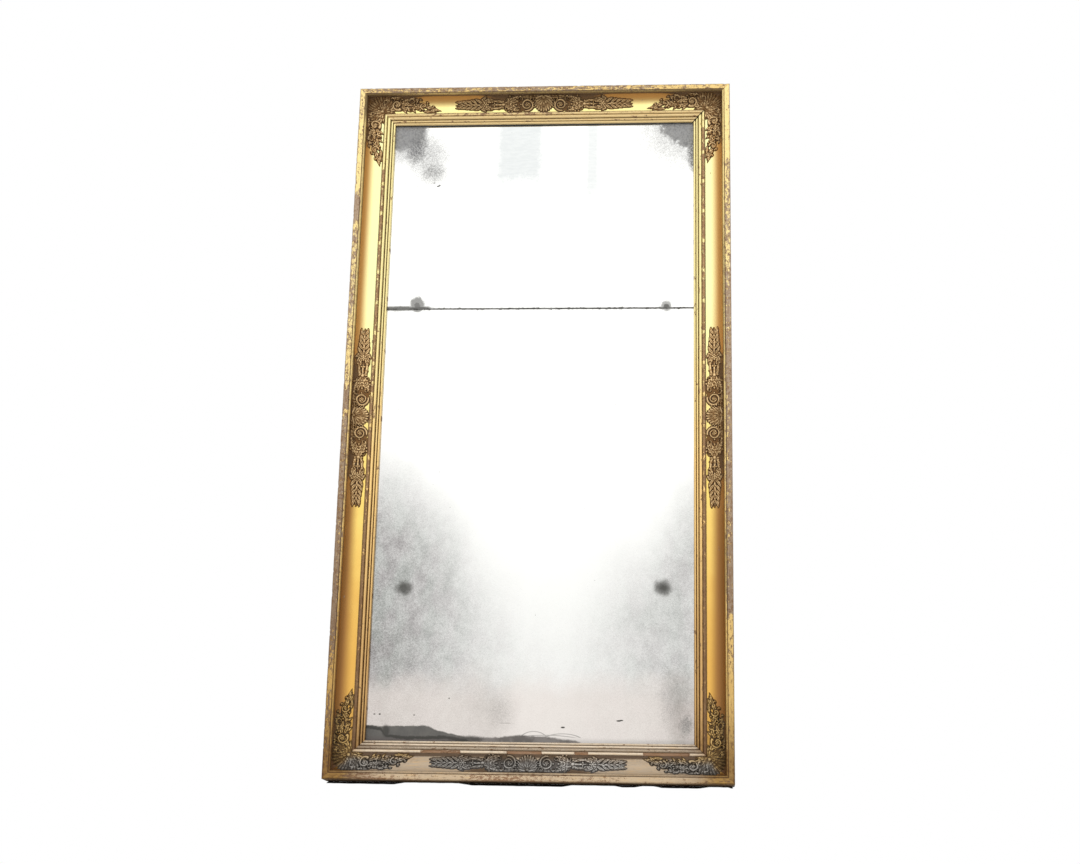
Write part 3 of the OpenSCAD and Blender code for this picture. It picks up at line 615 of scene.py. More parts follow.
def cove_wear(side, along, u, d):
    seed = REED_SEED[side] * 10 + 100
    spots = value_noise(along / 21, u / 6, seed, 4)
    loss = ease(spots, 0.78, 0.9) * 0.8
    # Dark creases by the lip and by the reeds, and on the wall near the castings and corners: dirt and painted shade.
    soil_and_shade = 0.9 * np.exp(-((u - LIP_W) / 1.6)) + 0.8 * np.exp(-((REED_U - u) / 0.9))
    soil_and_shade = soil_and_shade + 0.22 * ease(u, REED_U - 10, REED_U - 2)
    if side == "bottom":
        soil_and_shade = soil_and_shade + 0.85 * ease(u, REED_U - 14, REED_U - 5)
    from_end = side_length(side) / 2 - np.abs(along)
    in_corner = 0.15 if side == "bottom" else 1.0
    by_casting = np.maximum(in_corner * ease(from_end, 205, 120), ease(np.abs(along), 190, 130))
    soil_and_shade = soil_and_shade + 0.8 * by_casting * ease(u, LIP_W + 36, LIP_W + 8)
    held = {"loss": loss, "soil_and_shade": np.clip(soil_and_shade, 0, 1), **age_and_shade(side, along)}
    # painted_wall_shade: painted shade on the wall of the hollow next to the lip, reaching further across low down.
    (high_start, high_end), (low_start, low_end) = WALL_SHADE_CLEARS[side]
    start = high_start + (low_start - high_start) * held["deep"]
    end = high_end + (low_end - high_end) * held["deep"]
    held["painted_wall_shade"] = 1 - ease(u - LIP_W, start, end)
    return u + 0 * along, d + 0 * along, held


def reed_wear(side, along, u, d):
    """Wears the outer reed down to the wood where it is lost, and marks the grooves."""
    seed = REED_SEED[side] * 10 + 200
    reach = reach_of(side, along)
    outer = u < REED_U + REEDS[0][0] + 0.01
    share = stretches(reach, REED_LOSS[side], 1.5)
    grain = value_noise(along / 12, u / 5, seed, 4)
    lap = (np.abs((reach + 22) % LEAF_SIZE - LEAF_SIZE / 2) < LAP_HALF) & (side != "bottom")
    share = np.where(lap, share * (0.3 + 0.7 * age_and_shade(side, along)["deep"]), share)
    loss = np.clip(share + 0.5 * (grain - 0.5), 0, 1) * outer
    edges = [row[0] for row in reed_stations()]
    whole = outer | (u > edges[3]) if side == "top" else outer
    nicks = ease(value_noise(along / 15, u / 4, seed + 3, 4), 0.64, 0.78) * ~whole
    front = d < PLATE_D - 0.5
    gone = ease(loss, 0.72, 0.86) if side == "bottom" else 0.45 * ease(loss, 0.6, 0.85)
    floor_d = reed_chord(u) + 0.5
    worn = np.where(front, d + np.maximum(floor_d - d, 0) * gone + 0.18 * nicks, d)
    # Dark grooves between the reeds: dirt and painted shade.
    groove = 0.8 if side == "top" else 0.95
    soil_and_shade = sum(np.exp(-(((u - edge) / groove) ** 2)) for edge in edges)
    if side == "bottom":
        soil_and_shade = soil_and_shade + 0.62 * ease(u, edges[1], edges[1] + 1) * ease(u, edges[2], edges[2] - 1)
        soil_and_shade = soil_and_shade + 0.45 * ease(u, edges[3], edges[3] + 1)
    # The inner face of the sight edge turns black from shadow_from: a painted shadow line, over most of the face on
    # the top side and only at its back elsewhere.
    top_d = float(reed_chord(SIGHT_U))
    shadow_from = (CLEAR_OF_SHADOW if side == "top" else 0.9) * (PLATE_D - top_d) + top_d
    soil_and_shade = np.clip(soil_and_shade, 0, 1) + 1.6 * ease(d, shadow_from - 0.4, shadow_from)
    if side in ("top", "right"):
        from_mitre = side_length(side) / 2 - along - u
        soil_and_shade = soil_and_shade + 1.6 * ease(from_mitre, 2.5, 1.2) * ease(u, REED_U + 1, REED_U + 3)
    held = {"loss": np.maximum(loss, 0.75 * nicks), "soil_and_shade": soil_and_shade, **age_and_shade(side, along)}
    if side == "bottom":
        held["grime"] = held["grime"] * np.where(outer & (along < 0), 0.3, 1)
    # On the top the dust value lays the pale colour of lit_crown_gilt over the reeds: a painted highlight.
    if side == "top":
        held["dust"] = 1 + 0 * along
    return u + 0 * along, worn, held


# ---------------------------------------------------------------- cast ornaments

GRID = 1.25
CORNER_REACH = 227
CENTRE_REACH = 252
RELIEF_SINK = 0.3
RELIEF_SEAT = 0.6
HUB_FADE = 10
WEB_HEIGHT = 0.9
WEB_CLOSE = 2


def across(t):
    """Station across the cove, from the lip (0) to the reeds (1)."""
    return LIP_W + (REED_U - LIP_W) * t


class Relief:
    """Height drawn over a grid of places: s along the side and u across it.

    Shapes are placed by s in millimetres and by the share of the way across the cove.
    """

    def __init__(self, s, u):
        self.s, self.u = s, u
        self.height = np.full(s.shape, -1.0)

    def lay(self, inside, height):
        self.height = np.where(inside, np.maximum(self.height, height), self.height)

    def leaf(self, start, end, width, rise, **shape):
        """Leaf between two places; shape goes on to blade."""
        self.blade((start[0], across(start[1])), (end[0], across(end[1])), width, rise, **shape)

    def blade(self, start, end, width, rise, base=1.2, bend=0.0, lobes=0, blunt=False, rib=-0.45):
        """Leaf with a rib, in millimetres; lobes notch its edge and cut veins, bend bows it to one side."""
        start, end = np.array(start, float), np.array(end, float)
        length = np.linalg.norm(end - start)
        along = (end - start) / length
        ds, du = self.s - start[0], self.u - start[1]
        on = (ds * along[0] + du * along[1]) / length
        t = np.clip(on, 0, 1)
        q = -ds * along[1] + du * along[0] - bend * np.sin(math.pi * t)
        if blunt:
            tip = np.clip((t - 0.78) / 0.22, 0, 1)
            half = width / 2 * (0.35 + 0.65 * t**0.7) * np.sqrt(np.clip(1 - tip**2, 0, 1))
        else:
            half = width / 2 * np.sin(math.pi * t**0.8)
        if lobes:
            half = half * (1 - 0.3 * np.abs(np.sin(math.pi * (lobes * t + 0.25))))
        n = np.abs(q) / np.maximum(half, 1e-3)
        inside = (on > 0) & (on < 1) & (n < 1)
        body = np.sqrt(np.clip(1 - n**2, 0, 1)) * (0.6 + 0.4 * np.sin(math.pi * t))
        height = base + rise * body
        height = height + rib * rise * np.exp(-((q / (0.1 * width)) ** 2)) * (0.4 + 0.6 * body)
        if lobes:
            veins = 0.5 + 0.5 * np.cos(2 * math.pi * (lobes * t - 0.8 * n))
            height = height - 0.4 * rise * veins * n * (n < 0.95)
        self.lay(inside, height)

    def scroll(self, at, r, start, turn, width, rise, base, shrink=0.62):
        """Half-round band that winds inwards from radius r by the given angle in degrees."""
        ds, du = self.s - at[0], self.u - across(at[1])
        close = (np.abs(ds) < r + width) & (np.abs(du) < r + width)
        s, u = ds[close], du[close]
        best = np.zeros(s.shape)
        for t in np.linspace(0, 1, 70):
            angle = math.radians(start + turn * t)
            radius = r * (1 - shrink * t)
            half = width * (0.5 - 0.2 * t)
            gap = np.hypot(s - radius * math.cos(angle), u - radius * math.sin(angle))
            best = np.maximum(best, np.sqrt(np.clip(1 - (gap / half) ** 2, 0, 1)) * (0.75 + 0.25 * t))
        height = np.full(self.s.shape, -1.0)
        height[close] = np.where(best > 0, base + rise * best, -1)
        self.lay(height > 0, height)

    def dome(self, at, r, rise, base):
        n = np.hypot(self.s - at[0], self.u - across(at[1])) / r
        self.lay(n < 1, base + rise * np.sqrt(np.clip(1 - n**2, 0, 1)))

    def flower(self, at, r, petals, rise, base):
        ds, du = self.s - at[0], self.u - across(at[1])
        n, angle = np.hypot(ds, du) / r, np.arctan2(du, ds)
        lobe = np.abs(np.cos(petals * angle / 2))
        inside = n < 0.72 + 0.28 * lobe
        body = (0.35 + 0.65 * lobe) * (1 - 0.5 * n**2)
        self.lay(inside, base + rise * body)
        self.dome(at, r * 0.34, rise * 1.05, base)

    def fan(self, at, r, heading, spread, count, width, rise, base=1.2, droop=0.16):
        """Round-ended fingers that spread from one place."""
        for k in range(count):
            side = 2 * k / (count - 1) - 1
            angle = math.radians(heading + side * spread)
            long = r * (1 - droop * side * side)
            start = (at[0], across(at[1]))
            end = (start[0] + long * math.cos(angle), start[1] + long * math.sin(angle))
            self.blade(start, end, width, rise, base, blunt=True, rib=-0.25)


# Leaves of the corner arm: start and end as (along, across), then width, rise, bend and lobes.
CORNER_LEAVES = (((58, 0.9), (112, 0.62), 17, 4.0, 0, 5), ((64, 0.98), (98, 0.9), 7, 2.6, 0, 0),
                 ((84, 0.3), (66, 0.05), 11, 3.4, 0, 3), ((90, 0.1), (116, 0.06), 7, 2.4, 0, 0),
                 ((112, 0.5), (146, 0.76), 13, 4.2, 3, 5), ((112, 0.4), (152, 0.5), 14, 4.0, -2.5, 5),
                 ((114, 0.3), (142, 0.12), 11, 3.4, 0, 4), ((121, 0.72), (130, 0.94), 6, 3.0, 0, 0),
                 ((140, 0.62), (186, 0.46), 14, 3.6, 2, 5), ((146, 0.68), (154, 0.92), 7, 3.2, 0, 2),
                 ((148, 0.22), (167, 0.16), 9, 3.2, 0, 3), ((180, 0.5), (214, 0.7), 13, 4.2, 2, 4),
                 ((199, 0.7), (227, 0.84), 10, 4.2, 0, 3), ((196, 0.7), (212, 0.95), 8, 3.0, 0, 0),
                 ((176, 0.86), (206, 0.9), 9, 3.2, 0, 4))
# Small curls over the leaves: place along and across, radius, start and turn of the winding; then buds.
CORNER_CURLS = ((72, 0.26, 7, 120, 280), (82, 0.64, 8, -60, 300), (92, 0.16, 6, 200, 260), (118, 0.2, 7, 40, 300),
                (127, 0.52, 8, 250, 300), (140, 0.72, 6, 90, 280), (160, 0.64, 7, 200, 300), (161, 0.33, 6, 20, 280),
                (196, 0.64, 5, 140, 280))
CORNER_BUDS = ((60, 0.6), (67, 0.44), (88, 0.82), (98, 0.06), (110, 0.68), (133, 0.3), (133, 0.64), (150, 0.1),
               (152, 0.44), (168, 0.78), (170, 0.16), (189, 0.32), (206, 0.56), (214, 0.8))
CENTRE_CURLS = ((27, 0.56, 5, 60, 280), (32, 0.16, 7, 300, 280), (66, 0.18, 7, 160, 280), (72, 0.76, 6, 20, 290),
                (84, 0.3, 7, 200, 300), (86, 0.72, 7, 120, 300), (102, 0.24, 6, 60, 280), (103, 0.78, 6, 240, 280),
                (146, 0.26, 6, 20, 280), (148, 0.76, 6, 290, 280))
CENTRE_BUDS = ((30, 0.38), (64, 0.5), (77, 0.5), (77, 0.1), (88, 0.95), (93, 0.5), (94, 0.04), (97, 0.96),
               (114, 0.3), (114, 0.7), (138, 0.4), (138, 0.6), (172, 0.2), (172, 0.8))


def fine_work(relief, curls, buds):
    for s, t, r, start, turn in curls:
        relief.scroll((s, t), r, start, turn, 3.0, 2.6, 2.8, shrink=0.5)
    for s, t in buds:
        relief.dome((s, t), 2.7, 3.0, 2.4)


def corner_arm(relief):
    """One arm of a corner casting; the palmette at its root is shared by both arms."""
    root = (across(0.98), 0.98)
    relief.dome((across(0.62), 0.62), 18, 0.8, 0.8)
    relief.fan(root, 50, -135, 84, 17, 7.6, 2.1)
    relief.fan(root, 29, -135, 78, 11, 6, 2.4, 2.2)
    relief.dome((across(0.85), 0.85), 5.5, 4.5, 2.2)
    relief.scroll((104, 0.44), 15.5, 60, 330, 6.5, 4.6, 1.4)
    relief.dome((104, 0.44), 11, 0.8, 1.0)
    relief.flower((104, 0.44), 7.5, 6, 3.8, 1.8)
    relief.dome((140, 0.47), 17, 0.8, 0.8)
    relief.scroll((146, 0.26), 8.5, 200, 300, 4.4, 4.0, 1.4)
    relief.scroll((178, 0.52), 10.5, 100, 320, 5.0, 4.4, 1.4)
    relief.flower((178, 0.52), 5, 5, 3.6, 1.8)
    for start, end, width, rise, bend, lobes in CORNER_LEAVES:
        relief.leaf(start, end, width, rise, bend=bend, lobes=lobes)
    fine_work(relief, CORNER_CURLS, CORNER_BUDS)


def centre_half(relief):
    """The middle palmette and one half of a centre casting."""
    middle = (0, 0.03)
    relief.dome((0, 0.46), 20, 0.8, 0.8)
    relief.fan(middle, 45, 90, 50, 11, 7.5, 3.8, 1.4, 0.3)
    relief.leaf((6, 0.03), (30, 0.34), 10, 3.4, lobes=4)
    relief.fan(middle, 27, 90, 76, 9, 6.4, 3.2, 2.8, 0.1)
    relief.dome((0, 0.09), 6, 4.0, 2.8)
    relief.leaf((8, 0.06), (66, 0.1), 12, 3.4, lobes=6)
    flower = (47, 0.53)
    relief.dome(flower, 20, 0.8, 0.8)
    relief.scroll(flower, 18, 80, 560, 5.4, 3.4, 1.4, shrink=0.66)
    relief.flower(flower, 6, 5, 3.8, 2.0)
    root = (114, 0.5)
    relief.dome((86, 0.5), 22, 0.8, 0.8)
    for reach, out, bend in ((52, 0.44, 3), (50, 0.24, 2), (46, 0, 0), (50, -0.24, -2), (52, -0.44, -3)):
        relief.leaf(root, (root[0] - reach, 0.5 + out), 15, 4.2, bend=-bend, lobes=6)
    for out in (-0.36, 0.36):
        relief.leaf((104, 0.5), (92, 0.5 + out * 1.3), 13, 3.6, lobes=3)
    relief.dome((113, 0.5), 5.5, 4.2, 1.8)
    for out in (-0.2, 0.0, 0.2):
        relief.leaf((104, 0.5 + 0.4 * out), (154, 0.5 + out), 9, 4.0, bend=18 * out, lobes=4)
    calyx = (174, 0.5)
    for reach, out in ((44, 0.27), (30, 0.36), (14, 0.47)):
        for hand in (-1, 1):
            relief.leaf(calyx, (calyx[0] - reach, 0.5 + hand * out), 12, 4.2, bend=-3 * hand, lobes=4)
    relief.flower((163, 0.5), 9, 6, 3.8, 2.2)
    relief.leaf((166, 0.5), (250, 0.5), 9, 3.6, lobes=7)
    for k in range(5):
        start, out = 172 + 13.5 * k, 0.33 - 0.035 * k
        for hand in (-1, 1):
            relief.leaf((start, 0.5 + 0.03 * hand), (start + 22, 0.5 + hand * out), 8, 4.0, bend=2.5 * hand)
    fine_work(relief, CENTRE_CURLS, CENTRE_BUDS)


def cove_face(u):
    """Depth and inward normal of the cove and its ground at u."""
    hollow = u < GROUND_U
    depth = GROUND_D - COVE_R + np.sqrt(np.clip(COVE_R**2 - (GROUND_U - u) ** 2, 0, None))
    lean = np.where(hollow, (GROUND_U - u) / COVE_R, 0)
    return np.where(hollow, depth, GROUND_D), lean, -np.sqrt(1 - lean**2)


def casting_stations():
    """Stations across the casting at even steps over the hollow and the ground."""
    start = math.acos((COVE_W - 0.4) / COVE_R)
    bend = math.pi / 2 - start
    angles = start + bend * np.linspace(0, 1, int(COVE_R * bend / GRID))
    hollow = GROUND_U - COVE_R * np.cos(angles)
    flat = np.linspace(GROUND_U, REED_U - 0.2, int((REED_U - GROUND_U) / GRID))[1:]
    return np.concatenate([hollow, flat])


def filled_cells(height):
    """Grid cells under the relief, with diagonal contacts filled so that the solid stays clean."""
    cells = np.maximum.reduce([height[:-1, :-1], height[1:, :-1], height[:-1, 1:], height[1:, 1:]]) > 0
    for _ in range(4):
        a, b, c, d = cells[:-1, :-1], cells[1:, :-1], cells[:-1, 1:], cells[1:, 1:]
        one, two = a & d & ~b & ~c, b & c & ~a & ~d
        cells[1:, :-1] |= one
        cells[:-1, :-1] |= two
    return cells


def shell(height, open_start):
    """Faces of the solid between the raised grid and its flat copy, in grid numbering."""
    rows, columns = height.shape
    cells = filled_cells(height)
    number = np.arange(rows * columns).reshape(rows, columns)
    below = number + rows * columns
    i, j = np.nonzero(cells)
    top = np.stack([number[i, j], number[i + 1, j], number[i + 1, j + 1], number[i, j + 1]], axis=-1)
    low = np.stack([below[i, j], below[i, j + 1], below[i + 1, j + 1], below[i + 1, j]], axis=-1)
    walls = []
    padded = np.pad(cells, 1)
    for di, dj, (ai, aj), (bi, bj) in ((-1, 0, (0, 1), (0, 0)), (1, 0, (1, 0), (1, 1)),
                                       (0, -1, (0, 0), (1, 0)), (0, 1, (1, 1), (0, 1))):
        bare = cells & ~padded[1 + di:1 + di + rows - 1, 1 + dj:1 + dj + columns - 1]
        if open_start and di == -1:
            bare[0] = False
        wi, wj = np.nonzero(bare)
        p, q = number[wi + ai, wj + aj], number[wi + bi, wj + bj]
        walls.append(np.stack([p, q, q + rows * columns, p + rows * columns], axis=-1))
    return np.concatenate([top, low] + walls)


def soften(values, passes):
    for _ in range(passes):
        padded = np.pad(values, 1, mode="edge")
        values = (padded[:-2, 1:-1] + padded[2:, 1:-1] + padded[1:-1, :-2] + padded[1:-1, 2:]) / 4
    return values


def grown(mask, cells):
    """The mask widened by a number of cells, square and diamond in turn so that it stays round."""
    for turn in range(cells):
        padded = np.pad(mask, 1, mode="edge")
        wider = padded[:-2, 1:-1] | padded[2:, 1:-1] | padded[1:-1, :-2] | padded[1:-1, 2:] | mask
        if turn % 2:
            wider |= padded[:-2, :-2] | padded[2:, :-2] | padded[:-2, 2:] | padded[2:, 2:]
        mask = wider
    return mask


def webbed(height):
    """Thin web of metal that joins the leaves and closes the narrow gaps between them."""
    closed = ~grown(~grown(height > 0, WEB_CLOSE), WEB_CLOSE - 1)
    return np.where(closed & (height <= WEB_HEIGHT), WEB_HEIGHT, height)


def cast_solid(s, u, draw, seed, on_mitre, mid_shade=0.0):
    """Solid points as (s, u, d) with its faces and the values that its shader reads."""
    relief = Relief(s, u)
    draw(relief)
    height = webbed(relief.height)
    height = np.where(height > 0, height + 1.1 * (value_noise(s / 5.5, u / 5.5, seed, 2) - 0.5), height)
    open_cut = np.clip(height, -0.2, None)
    hollow = soften(open_cut, 3) - open_cut
    raised = np.where(height > 0, np.clip(height, 0.3, 7), -RELIEF_SINK)
    depth, lean, front = cove_face(u)
    # painted_nook_shade: painted shade by the lip wall and, by mid_shade, in the middle; for corner castings also in
    # the mitre corner.
    painted_nook_shade = np.maximum(1 - ease(u, LIP_W - 4, LIP_W + 22), mid_shade * (1 - ease(s, 30, 90)))
    if on_mitre:
        painted_nook_shade = np.maximum(painted_nook_shade, 1.2 * (1 - ease(u + s, 2 * LIP_W, 2 * LIP_W + 130)))
    held = {"cut": np.clip(0.5 + hollow * 0.55, 0, 1), "lift": np.clip(height / 6, 0, 1),
            "painted_nook_shade": np.clip(painted_nook_shade, 0, 1) + 0 * height}
    points = []
    for lift in (raised, np.full(raised.shape, -RELIEF_SEAT)):
        shifted = lean * lift
        lag = np.exp(-(s - u) / HUB_FADE) if on_mitre else 0
        points.append(np.stack([s + shifted * lag, u + shifted, depth + front * lift], axis=-1))
    faces = shell(height, on_mitre)
    held = {key: np.concatenate([value.ravel(), value.ravel()]) for key, value in held.items()}
    return np.concatenate([block.reshape(-1, 3) for block in points]), faces, held


def keep_used(points, faces, held):
    used, index = np.unique(faces, return_inverse=True)
    return points[used], index.reshape(faces.shape), {key: value[used] for key, value in held.items()}


def cast_piece(place, blocks, material):
    """Joins the blocks of one casting; blocks are points on the frame, faces and held values."""
    points, faces, held, start = [], [], {}, 0
    for block_points, block_faces, block_held in blocks:
        block_points, block_faces, block_held = keep_used(block_points, block_faces, block_held)
        points.append(block_points)
        faces.append(block_faces + start)
        start += len(block_points)
        for key, value in block_held.items():
            held.setdefault(key, []).append(value)
    points = np.concatenate(points)
    faces = np.concatenate(faces)
    held = {key: np.concatenate(value) for key, value in held.items()}
    whole, index, lookup = np.unique(np.round(points, 3), axis=0, return_index=True, return_inverse=True)
    faces = lookup.ravel()[faces]
    held = {key: value[index] for key, value in held.items()}
    return piece(f"{place}_casting", whole, faces.tolist(), [material], [f"{place}_ornament"],
                 held)


def corner_casting(place, right, top, material):
    u = casting_stations()[None, :]
    r = np.arange(0, CORNER_REACH - LIP_W, GRID)[:, None]
    points, faces, held = cast_solid(u + r, u + 0 * r, corner_arm, 51 + 2 * right + top, True)
    s, across_u, d = points.T
    blocks = []
    for level in (True, False):
        a, b = (s, across_u) if level else (across_u, s)
        x = (FRAME_W / 2 - a) * (1 if right else -1)
        z = FRAME_H - b if top else b
        shaded = dict(held)
        # The level arm of a top corner gets more painted shade, that of a bottom corner less.
        if level:
            shaded["painted_nook_shade"] = np.clip(held["painted_nook_shade"] + 0.38, 0, 1) if top else 0.45 * held["painted_nook_shade"]
        blocks.append((np.stack([x, d - FRAME_D / 2, z], axis=-1), faces, shaded))
    return cast_piece(place, blocks, material)


def centre_casting(side, material):
    u = casting_stations()[None, :]
    count = int(CENTRE_REACH / GRID)
    s = np.linspace(-CENTRE_REACH, CENTRE_REACH, 2 * count + 1)[:, None]

    def draw(relief):
        relief.s = np.abs(relief.s)
        centre_half(relief)

    mid_shade = 0.8 if side == "bottom" else 0.3
    points, faces, held = cast_solid(s + 0 * u, u + 0 * s, draw, REED_SEED[side], False, mid_shade)
    placed = seat(side, points[:, 0], points[:, 1], points[:, 2])
    return cast_piece(f"{side}_centre", [(placed, faces, held)], material)


# ---------------------------------------------------------------- materials of the front

# Leaf of each moulding where it is painted pale high up, half way down and deep near the floor: painted light and
# shade by height.
LIP_GOLD = ((0.98, 0.78, 0.36), (0.84, 0.60, 0.24), (0.56, 0.35, 0.12))
HOLLOW_GOLD = ((0.97, 0.95, 0.48), (0.97, 0.70, 0.20), (0.80, 0.46, 0.11))
REED_GOLD = ((0.99, 0.86, 0.42), (0.95, 0.65, 0.27), (0.66, 0.41, 0.17))
# Orange-brown of the painted shade on the wall of the hollow, and its deeper tone low down.
SHADED_WALL_GOLD = (0.70, 0.35, 0.09)
SHADED_WALL_DEEP = (0.37, 0.165, 0.038)
GOLD_DEEP = (0.88, 0.50, 0.12)
BOLE = (0.34, 0.18, 0.09)
BARE_WOOD = (0.60, 0.445, 0.305)
WARM_WOOD = (0.58, 0.35, 0.165)
GESSO = (0.86, 0.77, 0.64)
# Dark brown of dirt and painted shade.
SOIL_AND_SHADE_BROWN = (0.10, 0.052, 0.02)
GRIME = (0.14, 0.062, 0.022)
# Black of the painted shadow line on the sight edge and of the dark mitre joints.
SHADOW_AND_JOINT_BLACK = (0.012, 0.013, 0.009)
DUSTY_GOLD = (0.73, 0.565, 0.38)
DUSTY_WOOD = (0.43, 0.27, 0.17)
DUSTY_SHADE = (0.36, 0.28, 0.22)
PATINA = (0.30, 0.19, 0.08)
# Painted shade of the bare layers low down.
UNDER_SHADED_DEEP = (0.13, 0.06, 0.018)


def gilding(name, golds, sheen=0.34, dirt_and_shade_share=0.85, dusty=DUSTY_GOLD, patina=0.0, mottled=0.5, wood=BARE_WOOD,
            chalk=0.7, sooty=0.4):
    """Worn water gilding: leaf over bole, rubbed through to bole, gesso and wood, with dust on it, and painted light
    and shade.
    """
    shader = Shader(name)
    run = shader.held("run", "Vector")
    spot = shader.place()
    lost, soil_and_shade, dust = (shader.held(key) for key in ("loss", "soil_and_shade", "dust"))
    deep, grime, painted_wall_shade = (shader.held(key) for key in ("deep", "grime", "painted_wall_shade"))
    fine = spot.noise(2.6, 3, 0.65)
    grain = run.stretched((0.5, 1, 1)).noise(5.5, 4, 0.68)
    streak = run.stretched((0.07, 1, 1)).noise(2.4, 4, 0.6)
    broad = spot.noise(55, 3, 0.5)
    specks = grain.about(1.5) + fine.about(0.9)
    level = lost + specks + streak.about(0.5)
    gone = level.fade(0.46, 0.6)
    through = (level + broad.about(0.8)).fade(0.62, 0.95)
    # shade_and_age is the painted height shade, pale high up and deep low down, with a broad random change.
    shade_and_age = deep + broad.about(0.25)
    leaf = shade_and_age.fade(0.0, 0.55).blend(golds[0], golds[1])
    leaf = shade_and_age.fade(0.5, 1.0).blend(leaf, golds[2])
    leaf = streak.fade(0.45, 0.8, 0, mottled).blend(leaf, GOLD_DEEP)
    leaf = grain.fade(0.5, 0.72, 0, patina).blend(leaf, PATINA)
    # Painted shade on the wall of the hollow by the lip, deeper low down.
    leaf = painted_wall_shade.blend(leaf, shade_and_age.fade(0.0, 0.8).blend(SHADED_WALL_GOLD, SHADED_WALL_DEEP))
    bed = spot.noise(8, 3, 0.6).fade(0.4, 0.6).blend(BOLE, wood)
    bed = spot.noise(2.6, 2, 0.6).fade(0.56, 0.68, 0, chalk).blend(bed, GESSO)
    base = streak.fade(0.42, 0.68, 0, 0.75).blend(wood, BOLE)
    base = fine.fade(0.6, 0.72, 0, chalk).blend(base, GESSO)
    under = through.blend(bed, base)
    under = lost.fade(0.4, 0.6, 0.6, 0.0).blend(under, BOLE)
    # The bare layers get the painted height shade as well.
    under = (deep * 0.62).blend(under, UNDER_SHADED_DEEP)
    skin = gone.blend(leaf, under)
    pale = streak.fade(0.45, 0.75, 0, 0.35).blend(dusty, GOLD_DEEP)
    soot = (grain + broad.about(0.5)).fade(0.5, 0.75, 0, sooty)
    pale = soot.blend(pale, DUSTY_SHADE)
    pale = gone.blend(pale, streak.fade(0.35, 0.65).blend(DUSTY_WOOD, BOLE))
    # The dust value lays a pale colour: real dust on the bottom rail, a painted highlight on the top reeds.
    skin = dust.blend(skin, pale)
    # dirt_and_shade darkens creases and shaded faces: dirt and painted shade.
    dirt_and_shade = (soil_and_shade + fine.about(0.5)).fade(0.25, 0.9) * dirt_and_shade_share
    skin = dirt_and_shade.blend(skin, SOIL_AND_SHADE_BROWN)
    grime = grime * grain.fade(0.3, 0.7, 0.75, 1.25)
    skin = grime.blend(skin, GRIME)
    # Black: the painted shadow line on the inner face of the sight edge, and the dark mitre joints.
    shadow_and_joint_black = soil_and_shade.fade(1.15, 1.4)
    skin = shadow_and_joint_black.blend(skin, SHADOW_AND_JOINT_BLACK)
    metal = (1.0 - gone) * (1.0 - dirt_and_shade * 0.6) * dust.fade(0, 1, 1.0, 0.3) * (1.0 - painted_wall_shade * 0.5) * (1.0 - shadow_and_joint_black)
    rough = gone.fade(0, 1, sheen, 0.72) + dust * 0.1
    shader.set(base_color=skin, metallic=metal, roughness=rough)
    shader.bump(gone * -0.6 + fine * 0.5, 0.35, 0.5)
    return shader.material


def casting_finish(name, ridge, body, pit, upper=None, shade=0.6):
    """Dark patinated casting with rubbed ridges; upper gives its colours away from the dust of the foot."""
    shader = Shader(name)
    spot = shader.place()
    cut = shader.held("cut")
    lift = shader.held("lift")
    painted_nook_shade = shader.held("painted_nook_shade")
    fine = spot.noise(2.2, 3, 0.6)
    patchy = spot.noise(7, 3, 0.6)
    broad = spot.noise(26, 3, 0.55)
    level = cut + (fine.about(0.3) + patchy.about(0.5))
    rubbed = level.fade(0.5, 0.3) * lift.fade(0.15, 0.6)
    deep = most(level.fade(0.56, 0.88), lift.fade(0.1, 0.0, 0, 0.8))
    if upper:
        x, _, z = spot.parts()
        from_end = FRAME_W / 2 * MM - abs(x)
        past_mitre = z - from_end + broad.about(30 * MM)
        high = past_mitre.fade(-22 * MM, 6 * MM)
        by_reeds = (z + broad.about(14 * MM)).fade(44 * MM, 66 * MM, 0, 0.85)
        high = most(high, by_reeds)
        ridge, body, pit = (high.blend(low, top) for low, top in zip((ridge, body, pit), upper))
    skin = rubbed.blend(body, ridge)
    skin = deep.blend(skin, pit)
    # Painted shade: painted_nook_shade, times shade, darkens the casting towards its pit colour.
    skin = (painted_nook_shade * shade).blend(skin, pit)
    shader.set(base_color=skin, roughness=rubbed.fade(0, 1, 0.55, 0.36))
    shader.set(metallic=deep.fade(0, 1, 1, 0.4) * 0.8)
    shader.bump(fine + broad * 0.5, 0.3, 0.5)
    return shader.material


WOOD_ROUGH = 0.72


def wood(name, light, dark, axis=2, along_run=False):
    """Long-grained wood; axis is the direction of its fibres."""
    shader = Shader(name)
    spot = shader.held("run", "Vector") if along_run else shader.place()
    axis = 0 if along_run else axis
    scale = [1.0, 1.0, 1.0]
    scale[axis] = 0.045
    fibre = spot.stretched(scale).noise(5.5, 5, 0.6, 0.4)
    fine = spot.stretched(scale).noise(1.1, 3, 0.7)
    rings = spot.stretched([v * 0.9 for v in scale]).noise(26, 2, 0.5, 1.4)
    blot = spot.noise(130, 3, 0.55)
    tone = fibre * 0.5 + (rings * 5).calc("FRACT") * 0.35 + fine.about(0.5)
    skin = tone.fade(0.25, 0.75).blend(light, dark)
    stain = tuple(value * 0.62 for value in dark)
    skin = blot.fade(0.5, 0.75, 0, 0.6).blend(skin, stain)
    shader.set(base_color=skin, roughness=fibre.fade(0.2, 0.8, WOOD_ROUGH - 0.08, WOOD_ROUGH + 0.12))
    shader.bump(fine + fibre, 0.4, 0.6)
    return shader.material


# ---------------------------------------------------------------- mirror plates

SILVER = (0.93, 0.935, 0.925)
WARM_SILVER = (0.95, 0.905, 0.875)
BLOOM = (0.635, 0.66, 0.668)
